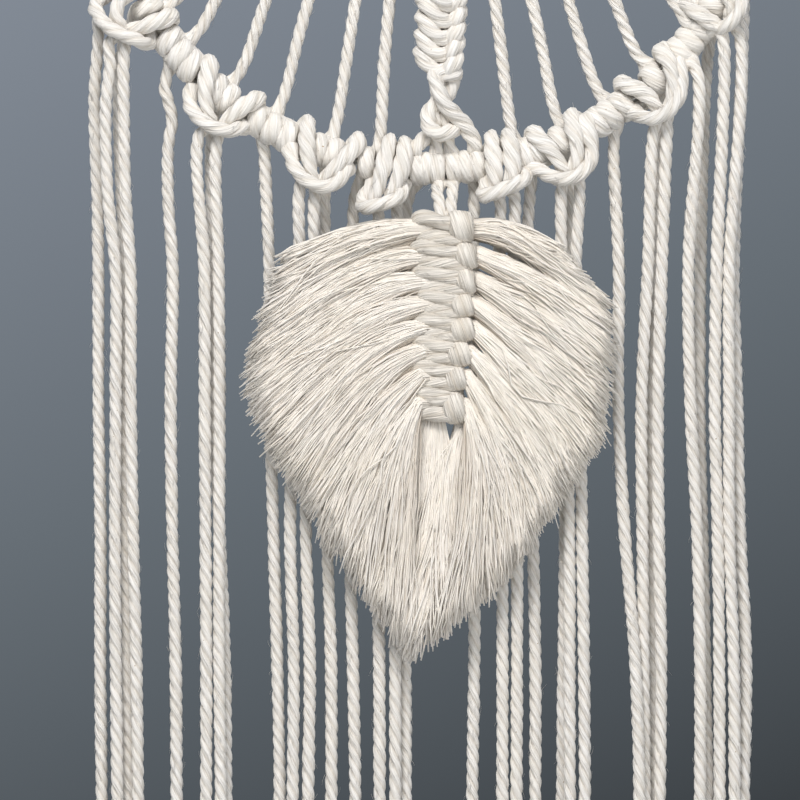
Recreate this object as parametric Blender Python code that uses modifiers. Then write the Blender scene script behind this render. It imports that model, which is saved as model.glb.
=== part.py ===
"""Knotted cord wall hanging on a wire hoop, with a combed leaf in front.

All lengths below are in millimetres and are turned into metres when a shape is
made. The frame: +X to the right as seen from the front, -Y to the front, +Z up.
The origin is the underside of the hanging cord's top bend, where a hook bears.
Heights in the tables are given as "drop", the distance below the hoop's centre.
"""
import math
from collections import namedtuple

import bmesh
import bpy
from mathutils import Matrix, Vector

# ---------------------------------------------------------------- main sizes
HOOP_R = 100.0          # centre line of the hoop
WIRE_R = 1.5            # hoop wire, 3 mm thick
CORD_D = 4.0            # three ply cotton cord
CORD_R = CORD_D / 2
GAP = 0.3               # left between pieces that touch
BORE_R = WIRE_R + GAP   # inside of every knot on the hoop
KNOT_R = 5.8            # outside of a turn of cord on the hoop
GROOVE_R = 5.15         # outside between two turns
LEG_R = 5.6             # outside of a leg of a folded cord
LOOP_RISE = 45.0        # hook point above the hoop's top
HOOP_Z = -(LOOP_RISE + HOOP_R)
CUT_DROP = 400.0        # where all the hanging ends are cut

HOOP_SEGMENTS = 40
WIRE_SIDES = 8
CORD_RESOLUTION = 2     # eight sides

COLLAR_DROP = -77.5     # lower face of the collar that binds the fan
COLLAR_H = 12.0
COLLAR_R = 13.6

LEAF_DEPTH = -13.0      # middle of the leaf, in front of the hanging cords

COTTON = (0.83, 0.80, 0.74, 1.0)
COMBED = (0.84, 0.80, 0.70, 1.0)
STEEL = (0.62, 0.60, 0.57, 1.0)

# -------------------------------------------------------------------- tables
# Cords that fan out from the collar and are hitched on the hoop.
#   slot_x, slot_y   place in the collar's lower face
#   meet             angle on the hoop where the cord comes in (0 = bottom)
#   start, end       the stretch of hoop its turns cover, degrees
#   turns            how many turns show
Fan = namedtuple("Fan", "name slot_x slot_y meet start end turns")
FANS = [
    Fan("p", -9.1, 0.0, -74.0, -79.5, -71.0, 3),
    Fan("a", -6.6, -3.8, -58.6, -61.0, -57.9, 1),
    Fan("b", -6.6, 3.8, -50.8, -53.9, -45.1, 3),
    Fan("c", -4.4, -7.6, -39.1, -41.6, -36.7, 2),
    Fan("d", -4.4, 0.0, -29.5, -32.9, -24.3, 3),
    Fan("e", -4.4, 7.6, -18.2, -20.9, -15.8, 2),
    Fan("f", -2.2, 3.8, -10.0, -12.3, -9.2, 1),
    Fan("i", 2.2, 3.8, 17.0, 16.6, 19.8, 2),
    Fan("k", 4.4, 7.6, 23.6, 22.3, 24.9, 1),
    Fan("l", 4.4, 0.0, 33.9, 29.6, 37.6, 3),
    Fan("m", 4.4, -7.6, 42.8, 41.0, 44.5, 1),
    Fan("n", 6.6, 3.8, 54.4, 50.1, 55.4, 2),
    Fan("o", 6.6, -3.8, 60.8, 59.5, 62.7, 1),
    Fan("q", 9.1, 0.0, 72.0, 69.4, 77.6, 3),
]

# Cords folded in half and looped on the hoop: two legs over the front, a bight
# across them, two hanging ends.
#   left, right      middle of each leg on the hoop, degrees
#   left_w, right_w  stretch that each leg covers, degrees
#   sag              how far the bight hangs below the knots, mm
Loop = namedtuple("Loop", "name left left_w right right_w sag")
LOOPS = [
    Loop("a", -62.9, 3.3, -56.2, 2.9, 8.4),
    Loop("c", -43.5, 2.7, -34.8, 2.8, 9.6),
    Loop("e", -22.8, 2.7, -14.0, 2.5, 9.6),
    Loop("g", -7.7, 2.5, -4.9, 2.5, 8.6),
    Loop("i", 11.6, 3.0, 15.0, 2.7, 8.4),
    Loop("k", 21.1, 1.9, 27.1, 4.1, 9.4),
    Loop("m", 39.4, 2.9, 46.9, 4.4, 9.4),
    Loop("o", 57.8, 2.9, 64.4, 3.1, 8.2),
]

# Hanging ends. Each leaves its knot at an angle on the hoop (out0 from the
# wire's middle, depth y0), comes clear of the knots at x1, y1, drop1 and then
# hangs: x at three drops, depth y at the first of them and at the others.
# Depths are negative in front of the hoop.
Tail = namedtuple("Tail", "leave out0 y0 x1 y1 drop1 x170 x290 x400 y170 y290")
TAILS = {
    "p": Tail(-75.5, 2.6, 3.2, -101.6, 3.4, 46.0, -100.9, -99.9, -99.2, 2.0, 1.4),
    "a1": Tail(-62.2, 4.4, -5.0, -97.2, -4.2, 62.0, -95.4, -94.9, -95.2, -2.6, -2.4),
    "a2": Tail(-56.6, 4.4, -5.0, -92.8, -4.2, 66.0, -90.8, -88.6, -88.0, -2.6, -2.4),
    "am": Tail(-60.0, 2.6, 3.6, -94.0, 5.8, 64.0, -93.1, -91.6, -91.4, 2.2, 1.9),
    "b": Tail(-49.4, 2.6, 3.2, -80.8, 3.8, 75.0, -78.9, -77.0, -77.2, 2.0, 0.0),
    "c1": Tail(-43.0, 4.4, -5.0, -69.9, -4.2, 90.0, -68.3, -67.9, -68.4, -2.8, -2.6),
    "c2": Tail(-35.2, 4.4, -5.0, -64.8, -4.2, 94.0, -63.8, -63.4, -63.8, -2.8, -2.6),
    "cm": Tail(-39.1, 2.6, 3.4, -66.6, 4.4, 92.0, -66.0, -61.9, -60.4, 2.6, 2.2),
    "d": Tail(-29.4, 2.6, 3.2, -50.2, 3.8, 98.0, -48.6, -45.6, -45.6, 2.0, 0.9),
    "e1": Tail(-22.4, 4.4, -5.0, -38.6, -4.2, 104.0, -41.0, -41.6, -41.2, -2.8, -2.4),
    "e2": Tail(-14.7, 4.4, -5.0, -34.2, -4.2, 105.0, -36.6, -36.9, -36.6, -2.8, -2.4),
    "em": Tail(-17.6, 2.6, 3.4, -31.9, 4.4, 105.5, -31.5, -29.9, -30.0, 2.6, 1.8),
    "f": Tail(-11.0, 2.6, 3.2, -22.6, 3.8, 107.5, -24.3, -22.6, -22.8, 2.6, 0.0),
    "g1": Tail(-7.8, 4.4, -5.0, -16.0, -4.2, 110.5, -16.2, -15.2, -15.6, -3.0, -2.4),
    "g2": Tail(-5.0, 4.4, -5.0, -10.4, -4.2, 110.5, -10.8, -10.4, -10.9, -3.0, -2.4),
    "sl": Tail(-1.6, 2.6, 3.2, -6.6, 4.8, 109.5, -7.3, -7.2, -7.4, 3.2, 1.8),
    "sr": Tail(7.6, 2.6, 3.2, 13.6, 3.8, 109.5, 13.7, 13.0, 12.6, 3.0, 1.0),
    "i1": Tail(11.5, 4.4, -5.0, 21.2, -4.2, 108.5, 21.6, 22.1, 21.6, -3.0, -2.6),
    "i2": Tail(14.6, 4.4, -5.0, 25.6, -4.2, 108.3, 26.0, 26.4, 26.2, -3.0, -2.4),
    "im": Tail(18.1, 2.6, 3.2, 30.8, 4.0, 106.5, 30.8, 32.2, 31.8, 2.8, 0.6),
    "k1": Tail(21.1, 4.4, -5.0, 40.4, -4.2, 104.0, 41.4, 42.6, 42.4, -2.8, -2.6),
    "k2": Tail(26.3, 4.4, -5.0, 44.9, -4.2, 102.5, 45.7, 47.2, 46.9, -2.8, -2.4),
    "km": Tail(23.6, 2.6, 3.4, 42.6, 4.6, 102.5, 41.8, 40.4, 39.8, 3.0, 2.6),
    "l": Tail(33.6, 2.6, 3.2, 56.2, 3.8, 94.0, 57.4, 63.6, 63.2, 0.2, -5.8),
    "m1": Tail(39.1, 4.4, -5.0, 68.0, -4.2, 89.0, 64.4, 65.6, 65.6, -2.8, -0.6),
    "m2": Tail(45.4, 4.4, -5.0, 72.1, -4.2, 86.5, 69.4, 70.0, 70.2, -2.8, -2.4),
    "mm": Tail(42.7, 2.6, 3.6, 71.0, 6.0, 86.5, 67.6, 68.2, 68.0, 2.8, 3.9),
    "n": Tail(52.2, 3.4, -4.2, 81.4, -4.6, 72.0, 79.2, 82.2, 82.0, -3.2, -2.6),
    "om": Tail(61.4, 0.0, 7.0, 85.2, 9.6, 66.0, 82.4, 84.8, 85.0, 3.2, 1.9),
    "o1": Tail(58.0, 4.4, -5.0, 89.2, -4.8, 62.0, 86.6, 88.1, 88.0, -3.0, -2.4),
    "o2": Tail(63.5, 4.6, -5.2, 94.2, -4.2, 60.0, 91.0, 92.7, 92.6, -3.0, -2.4),
    "q": Tail(71.0, 0.0, 7.0, 96.2, 8.8, 48.0, 93.8, 95.8, 95.4, 2.6, 2.0),
}

# Left half of the leaf and right half, one row for each combed lock's edge:
# where it starts at the midrib, which way it bends, where it is trimmed.
Lock = namedtuple("Lock", "root_x root_drop bend_x bend_drop trim_x trim_drop")
LEFT_LOCKS = [
    Lock(-6.6, 116.0, -24.0, 110.6, -47.5, 129.5),
    Lock(-6.9, 123.0, -28.0, 119.0, -51.5, 143.0),
    Lock(-7.0, 131.0, -32.0, 129.0, -54.6, 155.5),
    Lock(-6.8, 139.0, -33.0, 140.0, -56.2, 166.0),
    Lock(-7.8, 147.0, -34.0, 152.0, -53.6, 176.0),
    Lock(-8.2, 155.0, -33.0, 164.0, -45.8, 191.0),
    Lock(-9.8, 163.0, -27.0, 178.0, -35.5, 207.0),
    Lock(-9.4, 171.0, -19.0, 192.0, -21.0, 229.0),
    Lock(3.2, 182.6, 0.0, 206.0, -5.0, 249.5),
]
RIGHT_LOCKS = [
    Lock(14.4, 116.5, 28.0, 113.5, 42.0, 128.0),
    Lock(15.6, 124.0, 35.0, 126.0, 54.4, 142.0),
    Lock(15.4, 132.0, 37.0, 138.0, 55.2, 151.5),
    Lock(14.6, 140.0, 39.0, 151.0, 55.0, 165.0),
    Lock(14.2, 148.0, 38.0, 166.0, 52.5, 184.0),
    Lock(13.4, 156.0, 34.0, 181.0, 44.6, 195.0),
    Lock(12.6, 164.0, 28.0, 192.0, 35.5, 208.0),
    Lock(12.2, 172.0, 20.0, 203.0, 21.5, 227.0),
    Lock(5.6, 182.6, 2.2, 206.0, -3.4, 249.0),
]

# Midrib of the leaf, a row for each pair of knots: middle, drop, half width.
Rib = namedtuple("Rib", "x drop half_w")
RIBS = [
    Rib(3.9, 116.5, 8.6), Rib(4.3, 125.0, 9.6), Rib(4.3, 133.0, 9.4),
    Rib(4.2, 140.5, 8.8), Rib(3.4, 148.0, 9.4), Rib(2.9, 155.5, 9.0),
    Rib(1.6, 163.0, 9.5), Rib(2.0, 171.0, 9.2),
]

# The knotted column inside the hoop: middle, depth, drop, half width and half
# thickness, from under the collar down to where it opens again.
Column = namedtuple("Column", "x y drop half_w half_t")
COLUMN = [
    Column(0.0, -3.8, -77.2, 2.6, 4.1), Column(0.5, -7.2, -60.0, 3.8, 4.2),
    Column(1.6, -8.4, -36.0, 7.0, 5.3), Column(2.0, -7.8, -12.0, 7.8, 5.5),
    Column(2.6, -6.4, 12.0, 7.6, 5.5), Column(2.8, -4.0, 38.0, 7.9, 5.6),
    Column(2.8, -1.8, 64.0, 7.0, 5.2), Column(3.4, -1.2, 74.0, 4.6, 4.6),
    Column(3.0, -1.2, 83.0, 5.8, 4.4),
]

# Bundle of folded cords that goes over the hoop's top, as sections up from the
# collar: height above the hoop's centre, half width, half thickness.
Bundle = namedtuple("Bundle", "rise half_w half_t")
BUNDLE = [
    Bundle(89.8, 10.4, 8.6), Bundle(95.0, 15.6, 6.4),
    Bundle(100.0, 18.6, 5.8), Bundle(103.6, 18.8, 4.9), Bundle(105.6, 18.4, 2.6),
]
RIB_SIDES = 10
HANG_ANGLE = 13.8       # where the hanging cord is tied, from the hoop's top
HANG_TURNS_DEG = 4.6


# ------------------------------------------------------------------- helpers
def at(x, y, drop):
    """Point in metres from x, depth y and drop below the hoop's centre."""
    return Vector((x * 0.001, y * 0.001, (HOOP_Z - drop) * 0.001))


def on_hoop(angle, out=0.0, depth=0.0):
    """Point near the hoop's wire: angle from the bottom, out from its centre line."""
    a = math.radians(angle)
    r = HOOP_R + out
    return at(r * math.sin(a), depth, r * math.cos(a))


def smooth(points, steps):
    """Points along a Catmull-Rom curve through the given ones."""
    ends = [points[0] * 2 - points[1]] + list(points) + [points[-1] * 2 - points[-2]]
    out = []
    for i in range(len(points) - 1):
        p0, p1, p2, p3 = ends[i:i + 4]
        for s in range(steps):
            t = s / steps
            out.append(0.5 * ((2 * p1) + (p2 - p0) * t
                              + (2 * p0 - 5 * p1 + 4 * p2 - p3) * t * t
                              + (3 * p1 - p0 - 3 * p2 + p3) * t ** 3))
    return out + [points[-1].copy()]


def material(name, colour, roughness, metallic):
    m = bpy.data.materials.new(name)
    m.use_nodes = True
    b = m.node_tree.nodes["Principled BSDF"]
    b.inputs["Base Color"].default_value = colour
    b.inputs["Roughness"].default_value = roughness
    b.inputs["Metallic"].default_value = metallic
    return m


def finish(obj, name, look, sharp=60.0):
    obj.name = name
    obj.data.name = name
    for c in list(obj.users_collection):
        c.objects.unlink(obj)
    parts.objects.link(obj)
    obj.data.materials.clear()
    obj.data.materials.append(material(name, *look))
    obj.data.shade_smooth()
    obj.data.set_sharp_from_angle(angle=math.radians(sharp))
    return obj


def tube(name, points, radii=None, radius=CORD_R, resolution=CORD_RESOLUTION):
    """A capped tube along points, as a mesh with welded caps."""
    curve = bpy.data.curves.new(name, "CURVE")
    curve.dimensions = "3D"
    curve.bevel_depth = 0.001
    curve.bevel_resolution = resolution
    curve.use_fill_caps = True
    spline = curve.splines.new("POLY")
    spline.points.add(len(points) - 1)
    for i, p in enumerate(points):
        spline.points[i].co = (p.x, p.y, p.z, 1.0)
        spline.points[i].radius = radii[i] if radii else radius
    holder = bpy.data.objects.new(name + "_curve", curve)
    bpy.context.scene.collection.objects.link(holder)
    bpy.context.view_layer.update()
    graph = bpy.context.evaluated_depsgraph_get()
    mesh = bpy.data.meshes.new_from_object(holder.evaluated_get(graph))
    bpy.data.objects.remove(holder)
    bpy.data.curves.remove(curve)
    bm = bmesh.new()
    bm.from_mesh(mesh)
    bmesh.ops.remove_doubles(bm, verts=bm.verts, dist=1e-6)
    bmesh.ops.recalc_face_normals(bm, faces=bm.faces)
    bm.to_mesh(mesh)
    bm.free()
    obj = bpy.data.objects.new(name, mesh)
    bpy.context.scene.collection.objects.link(obj)
    return obj


def join(base, others, name, bore=True):
    """One body from base and others, with the hoop's wire and its gap cut out."""
    steps = [("UNION", o) for o in others] + ([("DIFFERENCE", bore_ring)] if bore else [])
    for kind, other in steps:
        mod = base.modifiers.new(kind.lower(), "BOOLEAN")
        mod.operation = kind
        mod.object = other
        mod.solver = "EXACT"
    bpy.context.view_layer.update()
    graph = bpy.context.evaluated_depsgraph_get()
    mesh = bpy.data.meshes.new_from_object(base.evaluated_get(graph))
    for o in [base] + list(others):
        bpy.data.objects.remove(o)
    bm = bmesh.new()
    bm.from_mesh(mesh)
    bmesh.ops.remove_doubles(bm, verts=bm.verts, dist=2e-6)
    bmesh.ops.dissolve_degenerate(bm, dist=1e-6, edges=bm.edges)
    bm.to_mesh(mesh)
    bm.free()
    obj = bpy.data.objects.new(name, mesh)
    bpy.context.scene.collection.objects.link(obj)
    return obj


def turns(name, start, end, count):
    """Turns of cord side by side round the hoop's wire, as one fluted sleeve."""
    step = (end - start) / (2 * count)
    edge = math.degrees(GAP / 2 / HOOP_R)
    points, radii = [], []
    for i in range(2 * count + 1):
        a = start + i * step
        if i == 0:
            a += edge
        if i == 2 * count:
            a -= edge
        points.append(on_hoop(a))
        radii.append(KNOT_R if i % 2 else GROOVE_R)
    return tube(name, points, radii)


def leg(name, angle, width):
    """One leg of a folded cord where it passes over the hoop's wire."""
    half = width / 2 - math.degrees(GAP / 2 / HOOP_R)
    return tube(name, [on_hoop(angle - half), on_hoop(angle + half)], radius=LEG_R)


def straighten(points, slack=0.0004):
    """Leave out the inner points that hardly bend the line."""
    kept = list(points)
    i = 1
    while i < len(kept) - 1:
        a, b = kept[i - 1], kept[i + 1]
        t = (kept[i] - a).dot(b - a) / (b - a).length_squared
        if (a + (b - a) * t - kept[i]).length < slack:
            del kept[i]
        else:
            i += 1
    return kept


def tail_points(key):
    """Route of a hanging end from its knot down to the cut."""
    row = TAILS[key]
    return [on_hoop(row.leave, row.out0, row.y0)] + straighten([
        at(row.x1, row.y1, row.drop1),
        at(row.x170, row.y170, 170.0),
        at(row.x290, row.y290, 290.0),
        at(row.x400, row.y290, CUT_DROP),
    ])


def sheet(name, locks, steps_u, steps_v, root_t, trim_t):
    """Combed fringe: a grid laid over the locks' edges, thickened."""
    rows = []
    n = len(locks) - 1
    for j in range(steps_v + 1):
        f = j / steps_v * n
        i = min(int(f), n - 1)
        t = f - i
        e = [locks[max(i - 1, 0)], locks[i], locks[i + 1], locks[min(i + 2, n)]]
        row = [0.5 * (2 * e[1][c] + (e[2][c] - e[0][c]) * t
                      + (2 * e[0][c] - 5 * e[1][c] + 4 * e[2][c] - e[3][c]) * t * t
                      + (3 * e[1][c] - e[0][c] - 3 * e[2][c] + e[3][c]) * t ** 3)
               for c in range(6)]
        rows.append(row)
    bpy.ops.mesh.primitive_grid_add(x_subdivisions=steps_u, y_subdivisions=steps_v, size=1.0)
    obj = bpy.context.object
    mesh = obj.data
    group = obj.vertex_groups.new(name="thickness")
    for v in mesh.vertices:
        u = v.co.x + 0.5
        j = round((v.co.y + 0.5) * steps_v)
        rx, rd, bx, bd, tx, td = rows[j]
        ragged = 1.0 - (0.035 if j % 2 else 0.0)
        s = u * ragged
        x = (1 - s) ** 2 * rx + 2 * s * (1 - s) * bx + s * s * tx
        d = (1 - s) ** 2 * rd + 2 * s * (1 - s) * bd + s * s * td
        lift = 1.6 * math.sin(math.pi * u) + (0.5 if j % 2 else -0.5) * math.sin(math.pi * min(1.0, u * 1.2))
        v.co = at(x, LEAF_DEPTH - lift + 1.0 * u, d)
        group.add([v.index], (root_t + (trim_t - root_t) * u) / root_t, "REPLACE")
    solid = obj.modifiers.new("thickness", "SOLIDIFY")
    solid.thickness = root_t * 0.001
    solid.offset = 0.0
    solid.vertex_group = "thickness"
    bpy.context.view_layer.update()
    graph = bpy.context.evaluated_depsgraph_get()
    thick = bpy.data.meshes.new_from_object(obj.evaluated_get(graph))
    bpy.data.objects.remove(obj)
    bm = bmesh.new()
    bm.from_mesh(thick)
    bmesh.ops.recalc_face_normals(bm, faces=bm.faces)
    bm.to_mesh(thick)
    bm.free()
    result = bpy.data.objects.new(name, thick)
    bpy.context.scene.collection.objects.link(result)
    return result


def stack(name, rings, sides=12):
    """A closed loft through rings of equal count, each a list of points."""
    bm = bmesh.new()
    loops = [[bm.verts.new(p) for p in ring] for ring in rings]
    for a, b in zip(loops, loops[1:]):
        for i in range(sides):
            j = (i + 1) % sides
            bm.faces.new((a[i], a[j], b[j], b[i]))
    bm.faces.new(loops[0])
    bm.faces.new(loops[-1])
    bmesh.ops.recalc_face_normals(bm, faces=bm.faces)
    mesh = bpy.data.meshes.new(name)
    bm.to_mesh(mesh)
    bm.free()
    obj = bpy.data.objects.new(name, mesh)
    bpy.context.scene.collection.objects.link(obj)
    return obj


def oval(x, y, drop, half_w, half_t, sides=12, turn=0.0):
    ring = []
    for i in range(sides):
        a = 2 * math.pi * i / sides + turn
        ring.append(at(x + half_w * math.cos(a), y + half_t * math.sin(a), drop))
    return ring


# --------------------------------------------------------------------- scene
for old in list(bpy.data.objects):
    bpy.data.objects.remove(old, do_unlink=True)
parts = bpy.data.collections.new("cord_wall_hanging")
bpy.context.scene.collection.children.link(parts)
cutters = bpy.data.collections.new("cutters")
bpy.context.scene.collection.children.link(cutters)

cord_look = (COTTON, 0.9, 0.0)
combed_look = (COMBED, 0.92, 0.0)
steel_look = (STEEL, 0.35, 1.0)


def hoop_ring(minor):
    """The hoop's ring, one segment's corner at its lowest point, standing upright."""
    bpy.ops.mesh.primitive_torus_add(
        major_radius=HOOP_R * 0.001, minor_radius=minor * 0.001,
        major_segments=HOOP_SEGMENTS, minor_segments=WIRE_SIDES)
    ring = bpy.context.object
    ring.data.transform(Matrix.Translation(at(0, 0, 0)) @ Matrix.Rotation(math.radians(90), 4, "X"))
    return ring


hoop = finish(hoop_ring(WIRE_R), "hoop", steel_look)
bore_ring = hoop_ring(BORE_R)
bore_ring.name = "hoop_clearance"
for c in list(bore_ring.users_collection):
    c.objects.unlink(bore_ring)
cutters.objects.link(bore_ring)
bore_ring.hide_render = True
bore_ring.display_type = "WIRE"

# Fan cords, and the turns and hanging ends that each goes on into.
for fan in FANS:
    rim = on_hoop(fan.meet, -KNOT_R)
    top = at(fan.slot_x, fan.slot_y, COLLAR_DROP)
    run = (rim - top).normalized()
    inward = (on_hoop(fan.meet, -KNOT_R - 1.0) - rim).normalized()
    tilt = math.acos(-run.z)
    lean = inward.angle(-run)
    high = at(fan.slot_x, fan.slot_y, COLLAR_DROP + GAP + CORD_R * math.sin(tilt))
    low = on_hoop(fan.meet, -(KNOT_R + GAP + CORD_R * math.sin(lean) + 0.2), -0.6)
    finish(tube("fan", [high, low]), "fan_cord_" + fan.name, cord_look)
    key = fan.name if fan.name in TAILS else fan.name + "m"
    knot = turns("turns", fan.start, fan.end, fan.turns)
    end = tube("end", tail_points(key))
    finish(join(knot, [end], "hitch"), "hitch_" + fan.name, cord_look)

# Folded cords: two legs, the bight across the front and two hanging ends.
for loop in LOOPS:
    left = leg("left", loop.left, loop.left_w)
    right = leg("right", loop.right, loop.right_w)
    span = loop.right - loop.left
    bight = [
        on_hoop(loop.left, 3.4, -1.4),
        on_hoop(loop.left + span * 0.05, loop.sag - 3.0, -6.2),
        on_hoop(loop.left + span * 0.5, loop.sag + 1.0, -8.2),
        on_hoop(loop.right - span * 0.10, loop.sag - 3.0, -6.2),
        on_hoop(loop.right, 3.4, -1.4),
    ]
    bar = tube("bight", bight)
    end_l = tube("end_l", tail_points(loop.name + "1"))
    end_r = tube("end_r", tail_points(loop.name + "2"))
    finish(join(left, [right, bar, end_l, end_r], "loop"), "loop_" + loop.name, cord_look)

# The knotted column and the three hitches that its four cords make on the hoop.
rings = []
for i, row in enumerate(COLUMN):
    rings.append(oval(row.x, row.y, row.drop, row.half_w, row.half_t, turn=math.radians(15)))
column = stack("column", rings)
legs = [
    tube("leg", [at(1.2, -1.4, 79.5), at(-2.8, -1.4, 87.0), on_hoop(-2.4, -KNOT_R - 1.0, -1.0)]),
    tube("leg", [at(2.3, -1.2, 80.0), on_hoop(1.5, -KNOT_R - 0.8, -1.0)]),
    tube("leg", [at(5.0, -1.2, 80.0), on_hoop(4.2, -KNOT_R - 1.2, -1.0)]),
    tube("leg", [at(6.2, -1.4, 78.5), at(11.2, -1.4, 85.0), on_hoop(7.7, -KNOT_R - 1.4, -1.0)]),
]
finish(join(column, legs, "sinnet", bore=False), "sinnet", cord_look)

finish(join(turns("turns", -3.5, 0.5, 2), [tube("end", tail_points("sl"))], "hitch_left"),
       "centre_hitch_left", cord_look)
finish(join(turns("turns", 5.3, 9.8, 2), [tube("end", tail_points("sr"))], "hitch_right"),
       "centre_hitch_right", cord_look)
hangers = [
    tube("hanger", [on_hoop(2.0, 3.0, -2.0), at(2.2, -6.4, 107.4), at(3.0, -10.6, 111.0)]),
    tube("hanger", [on_hoop(3.8, 3.0, -2.0), at(6.9, -6.4, 107.2), at(6.4, -10.6, 111.0)]),
]
finish(join(turns("turns", 0.7, 5.1, 2), hangers, "leaf_hanger"), "leaf_hanger", cord_look)

# Leaf: midrib with its pairs of knots, and the combed fringe to each side.
rings = []
top = RIBS[0]
rings.append(oval(top.x, LEAF_DEPTH, top.drop - 4.2, top.half_w * 0.62, 2.4, RIB_SIDES))
for i, rib in enumerate(RIBS):
    rings.append(oval(rib.x, LEAF_DEPTH, rib.drop, rib.half_w, 5.0, RIB_SIDES))
    if i + 1 < len(RIBS):
        after = RIBS[i + 1]
        rings.append(oval((rib.x + after.x) / 2, LEAF_DEPTH, (rib.drop + after.drop) / 2,
                          (rib.half_w + after.half_w) / 2 - 0.9, 3.9, RIB_SIDES))
rings.append(oval(RIBS[-1].x + 1.6, LEAF_DEPTH, RIBS[-1].drop + 5.4, 4.2, 2.4, RIB_SIDES))
finish(stack("leaf_midrib", rings, RIB_SIDES), "leaf_midrib", combed_look)
finish(sheet("leaf_fringe_left", LEFT_LOCKS, 5, 12, 5.0, 3.0), "leaf_fringe_left", combed_look)
finish(sheet("leaf_fringe_right", RIGHT_LOCKS, 5, 12, 5.0, 3.0), "leaf_fringe_right", combed_look)

# Collar: a cord wound tightly round all the cords, under the hoop's top.
bpy.ops.mesh.primitive_cylinder_add(vertices=20, radius=COLLAR_R * 0.001, depth=COLLAR_H * 0.001,
                                    location=at(0, 0, COLLAR_DROP - COLLAR_H / 2))
collar = bpy.context.object
collar.data.transform(Matrix.Translation(collar.location))
collar.location = (0, 0, 0)
edge = collar.modifiers.new("edge", "BEVEL")
edge.width = 0.0018
edge.segments = 2
edge.limit_method = "ANGLE"
edge.angle_limit = math.radians(40)
finish(collar, "collar", cord_look)

# Folded cords over the hoop's top, between the collar and the hoop.
rings = [oval(0.0, 0.0, -row.rise, row.half_w, row.half_t) for row in BUNDLE]
saddle = stack("saddle", rings)
finish(join(saddle, [], "saddle"), "saddle", cord_look)

# Hanging cord: tied to the hoop on each side of the bundle, bent over the hook.
left = turns("left", 180 + HANG_ANGLE - HANG_TURNS_DEG / 2, 180 + HANG_ANGLE + HANG_TURNS_DEG / 2, 2)
right = turns("right", 180 - HANG_ANGLE - HANG_TURNS_DEG / 2, 180 - HANG_ANGLE + HANG_TURNS_DEG / 2, 2)
foot = HOOP_R * math.sin(math.radians(HANG_ANGLE))
bow = smooth([
    on_hoop(180 + HANG_ANGLE, 2.6), at(-foot * 0.62, 0, -(HOOP_R + 24.0)),
    at(-5.6, 0, -(HOOP_R + 41.5)), at(0, 0, -(HOOP_R + LOOP_RISE + CORD_R)),
    at(5.6, 0, -(HOOP_R + 41.5)), at(foot * 0.62, 0, -(HOOP_R + 24.0)),
    on_hoop(180 - HANG_ANGLE, 2.6)], 2)
finish(join(tube("bow", bow), [left, right], "hang_loop"), "hang_loop", cord_look)
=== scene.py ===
"""Looks of the knotted cord wall hanging with its combed leaf.

Lengths in the tables are millimetres in the frame of the CAD: +X right, -Y to
the front, +Z up, origin under the hanging cord's top bend. A "drop" is the
distance below the hoop's centre. (u, v) pairs are places in the front view,
which put() turns into millimetres.
"""

import math

import bpy
import numpy as np
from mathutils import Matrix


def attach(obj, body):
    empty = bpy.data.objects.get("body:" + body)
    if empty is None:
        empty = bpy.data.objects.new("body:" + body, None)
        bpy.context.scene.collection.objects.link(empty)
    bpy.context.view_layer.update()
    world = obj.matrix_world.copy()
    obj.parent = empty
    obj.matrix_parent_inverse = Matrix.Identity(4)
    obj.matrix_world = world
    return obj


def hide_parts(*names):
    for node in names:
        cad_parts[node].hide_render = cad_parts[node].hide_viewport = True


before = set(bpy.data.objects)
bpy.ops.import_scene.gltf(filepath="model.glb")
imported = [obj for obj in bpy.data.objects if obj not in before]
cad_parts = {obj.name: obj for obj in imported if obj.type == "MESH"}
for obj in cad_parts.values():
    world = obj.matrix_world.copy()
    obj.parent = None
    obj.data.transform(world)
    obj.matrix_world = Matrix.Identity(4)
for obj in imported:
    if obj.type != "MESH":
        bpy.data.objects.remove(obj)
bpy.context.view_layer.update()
rng = np.random.default_rng(7)

# ------------------------------------------------------------- main sizes, mm
HOOP_R = 100.0
WIRE_R = 1.5
CORD_R = 2.0
HOOP_Z = -145.0
COLLAR_DROP = -77.5
COLLAR_H = 12.0
COLLAR_R = 13.6
LOOP_RISE = 45.0
CUT_DROP = 400.0
LEAF_DEPTH = -13.0
PITCH = 13.4             # one full turn of the three plies
RING = PITCH / 10.7      # rings along a cord

VIEW_X, VIEW_DROP = -9.0, 170.4
VIEW_W = 243.5
VIEW_FROM = 1500.0
SCALE = 0.30432          # millimetres for one step of (u, v)


# ------------------------------------------------------------------- helpers
def at(x, y, drop):
    return np.array([x, y, HOOP_Z - drop], float)


def put(u, v, y=0.0):
    """Point of the front view at a depth, in millimetres."""
    near = (VIEW_FROM + y) / VIEW_FROM
    x = (u - 429.5) * SCALE
    d = (v + 160.0) * SCALE
    return at(VIEW_X + (x - VIEW_X) * near, y, VIEW_DROP + (d - VIEW_DROP) * near)


def ring_at(a, phi, rho):
    """Point round the hoop's wire. a: degrees from the bottom, + right. phi: 0
    towards the hoop's centre, 90 front, 180 outwards, -90 back."""
    t, p = math.radians(a), math.radians(phi)
    r = HOOP_R - rho * math.cos(p)
    return at(r * math.sin(t), -rho * math.sin(p), r * math.cos(t))


def on_hoop(a, out=0.0, depth=0.0):
    t = math.radians(a)
    r = HOOP_R + out
    return at(r * math.sin(t), depth, r * math.cos(t))


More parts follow.
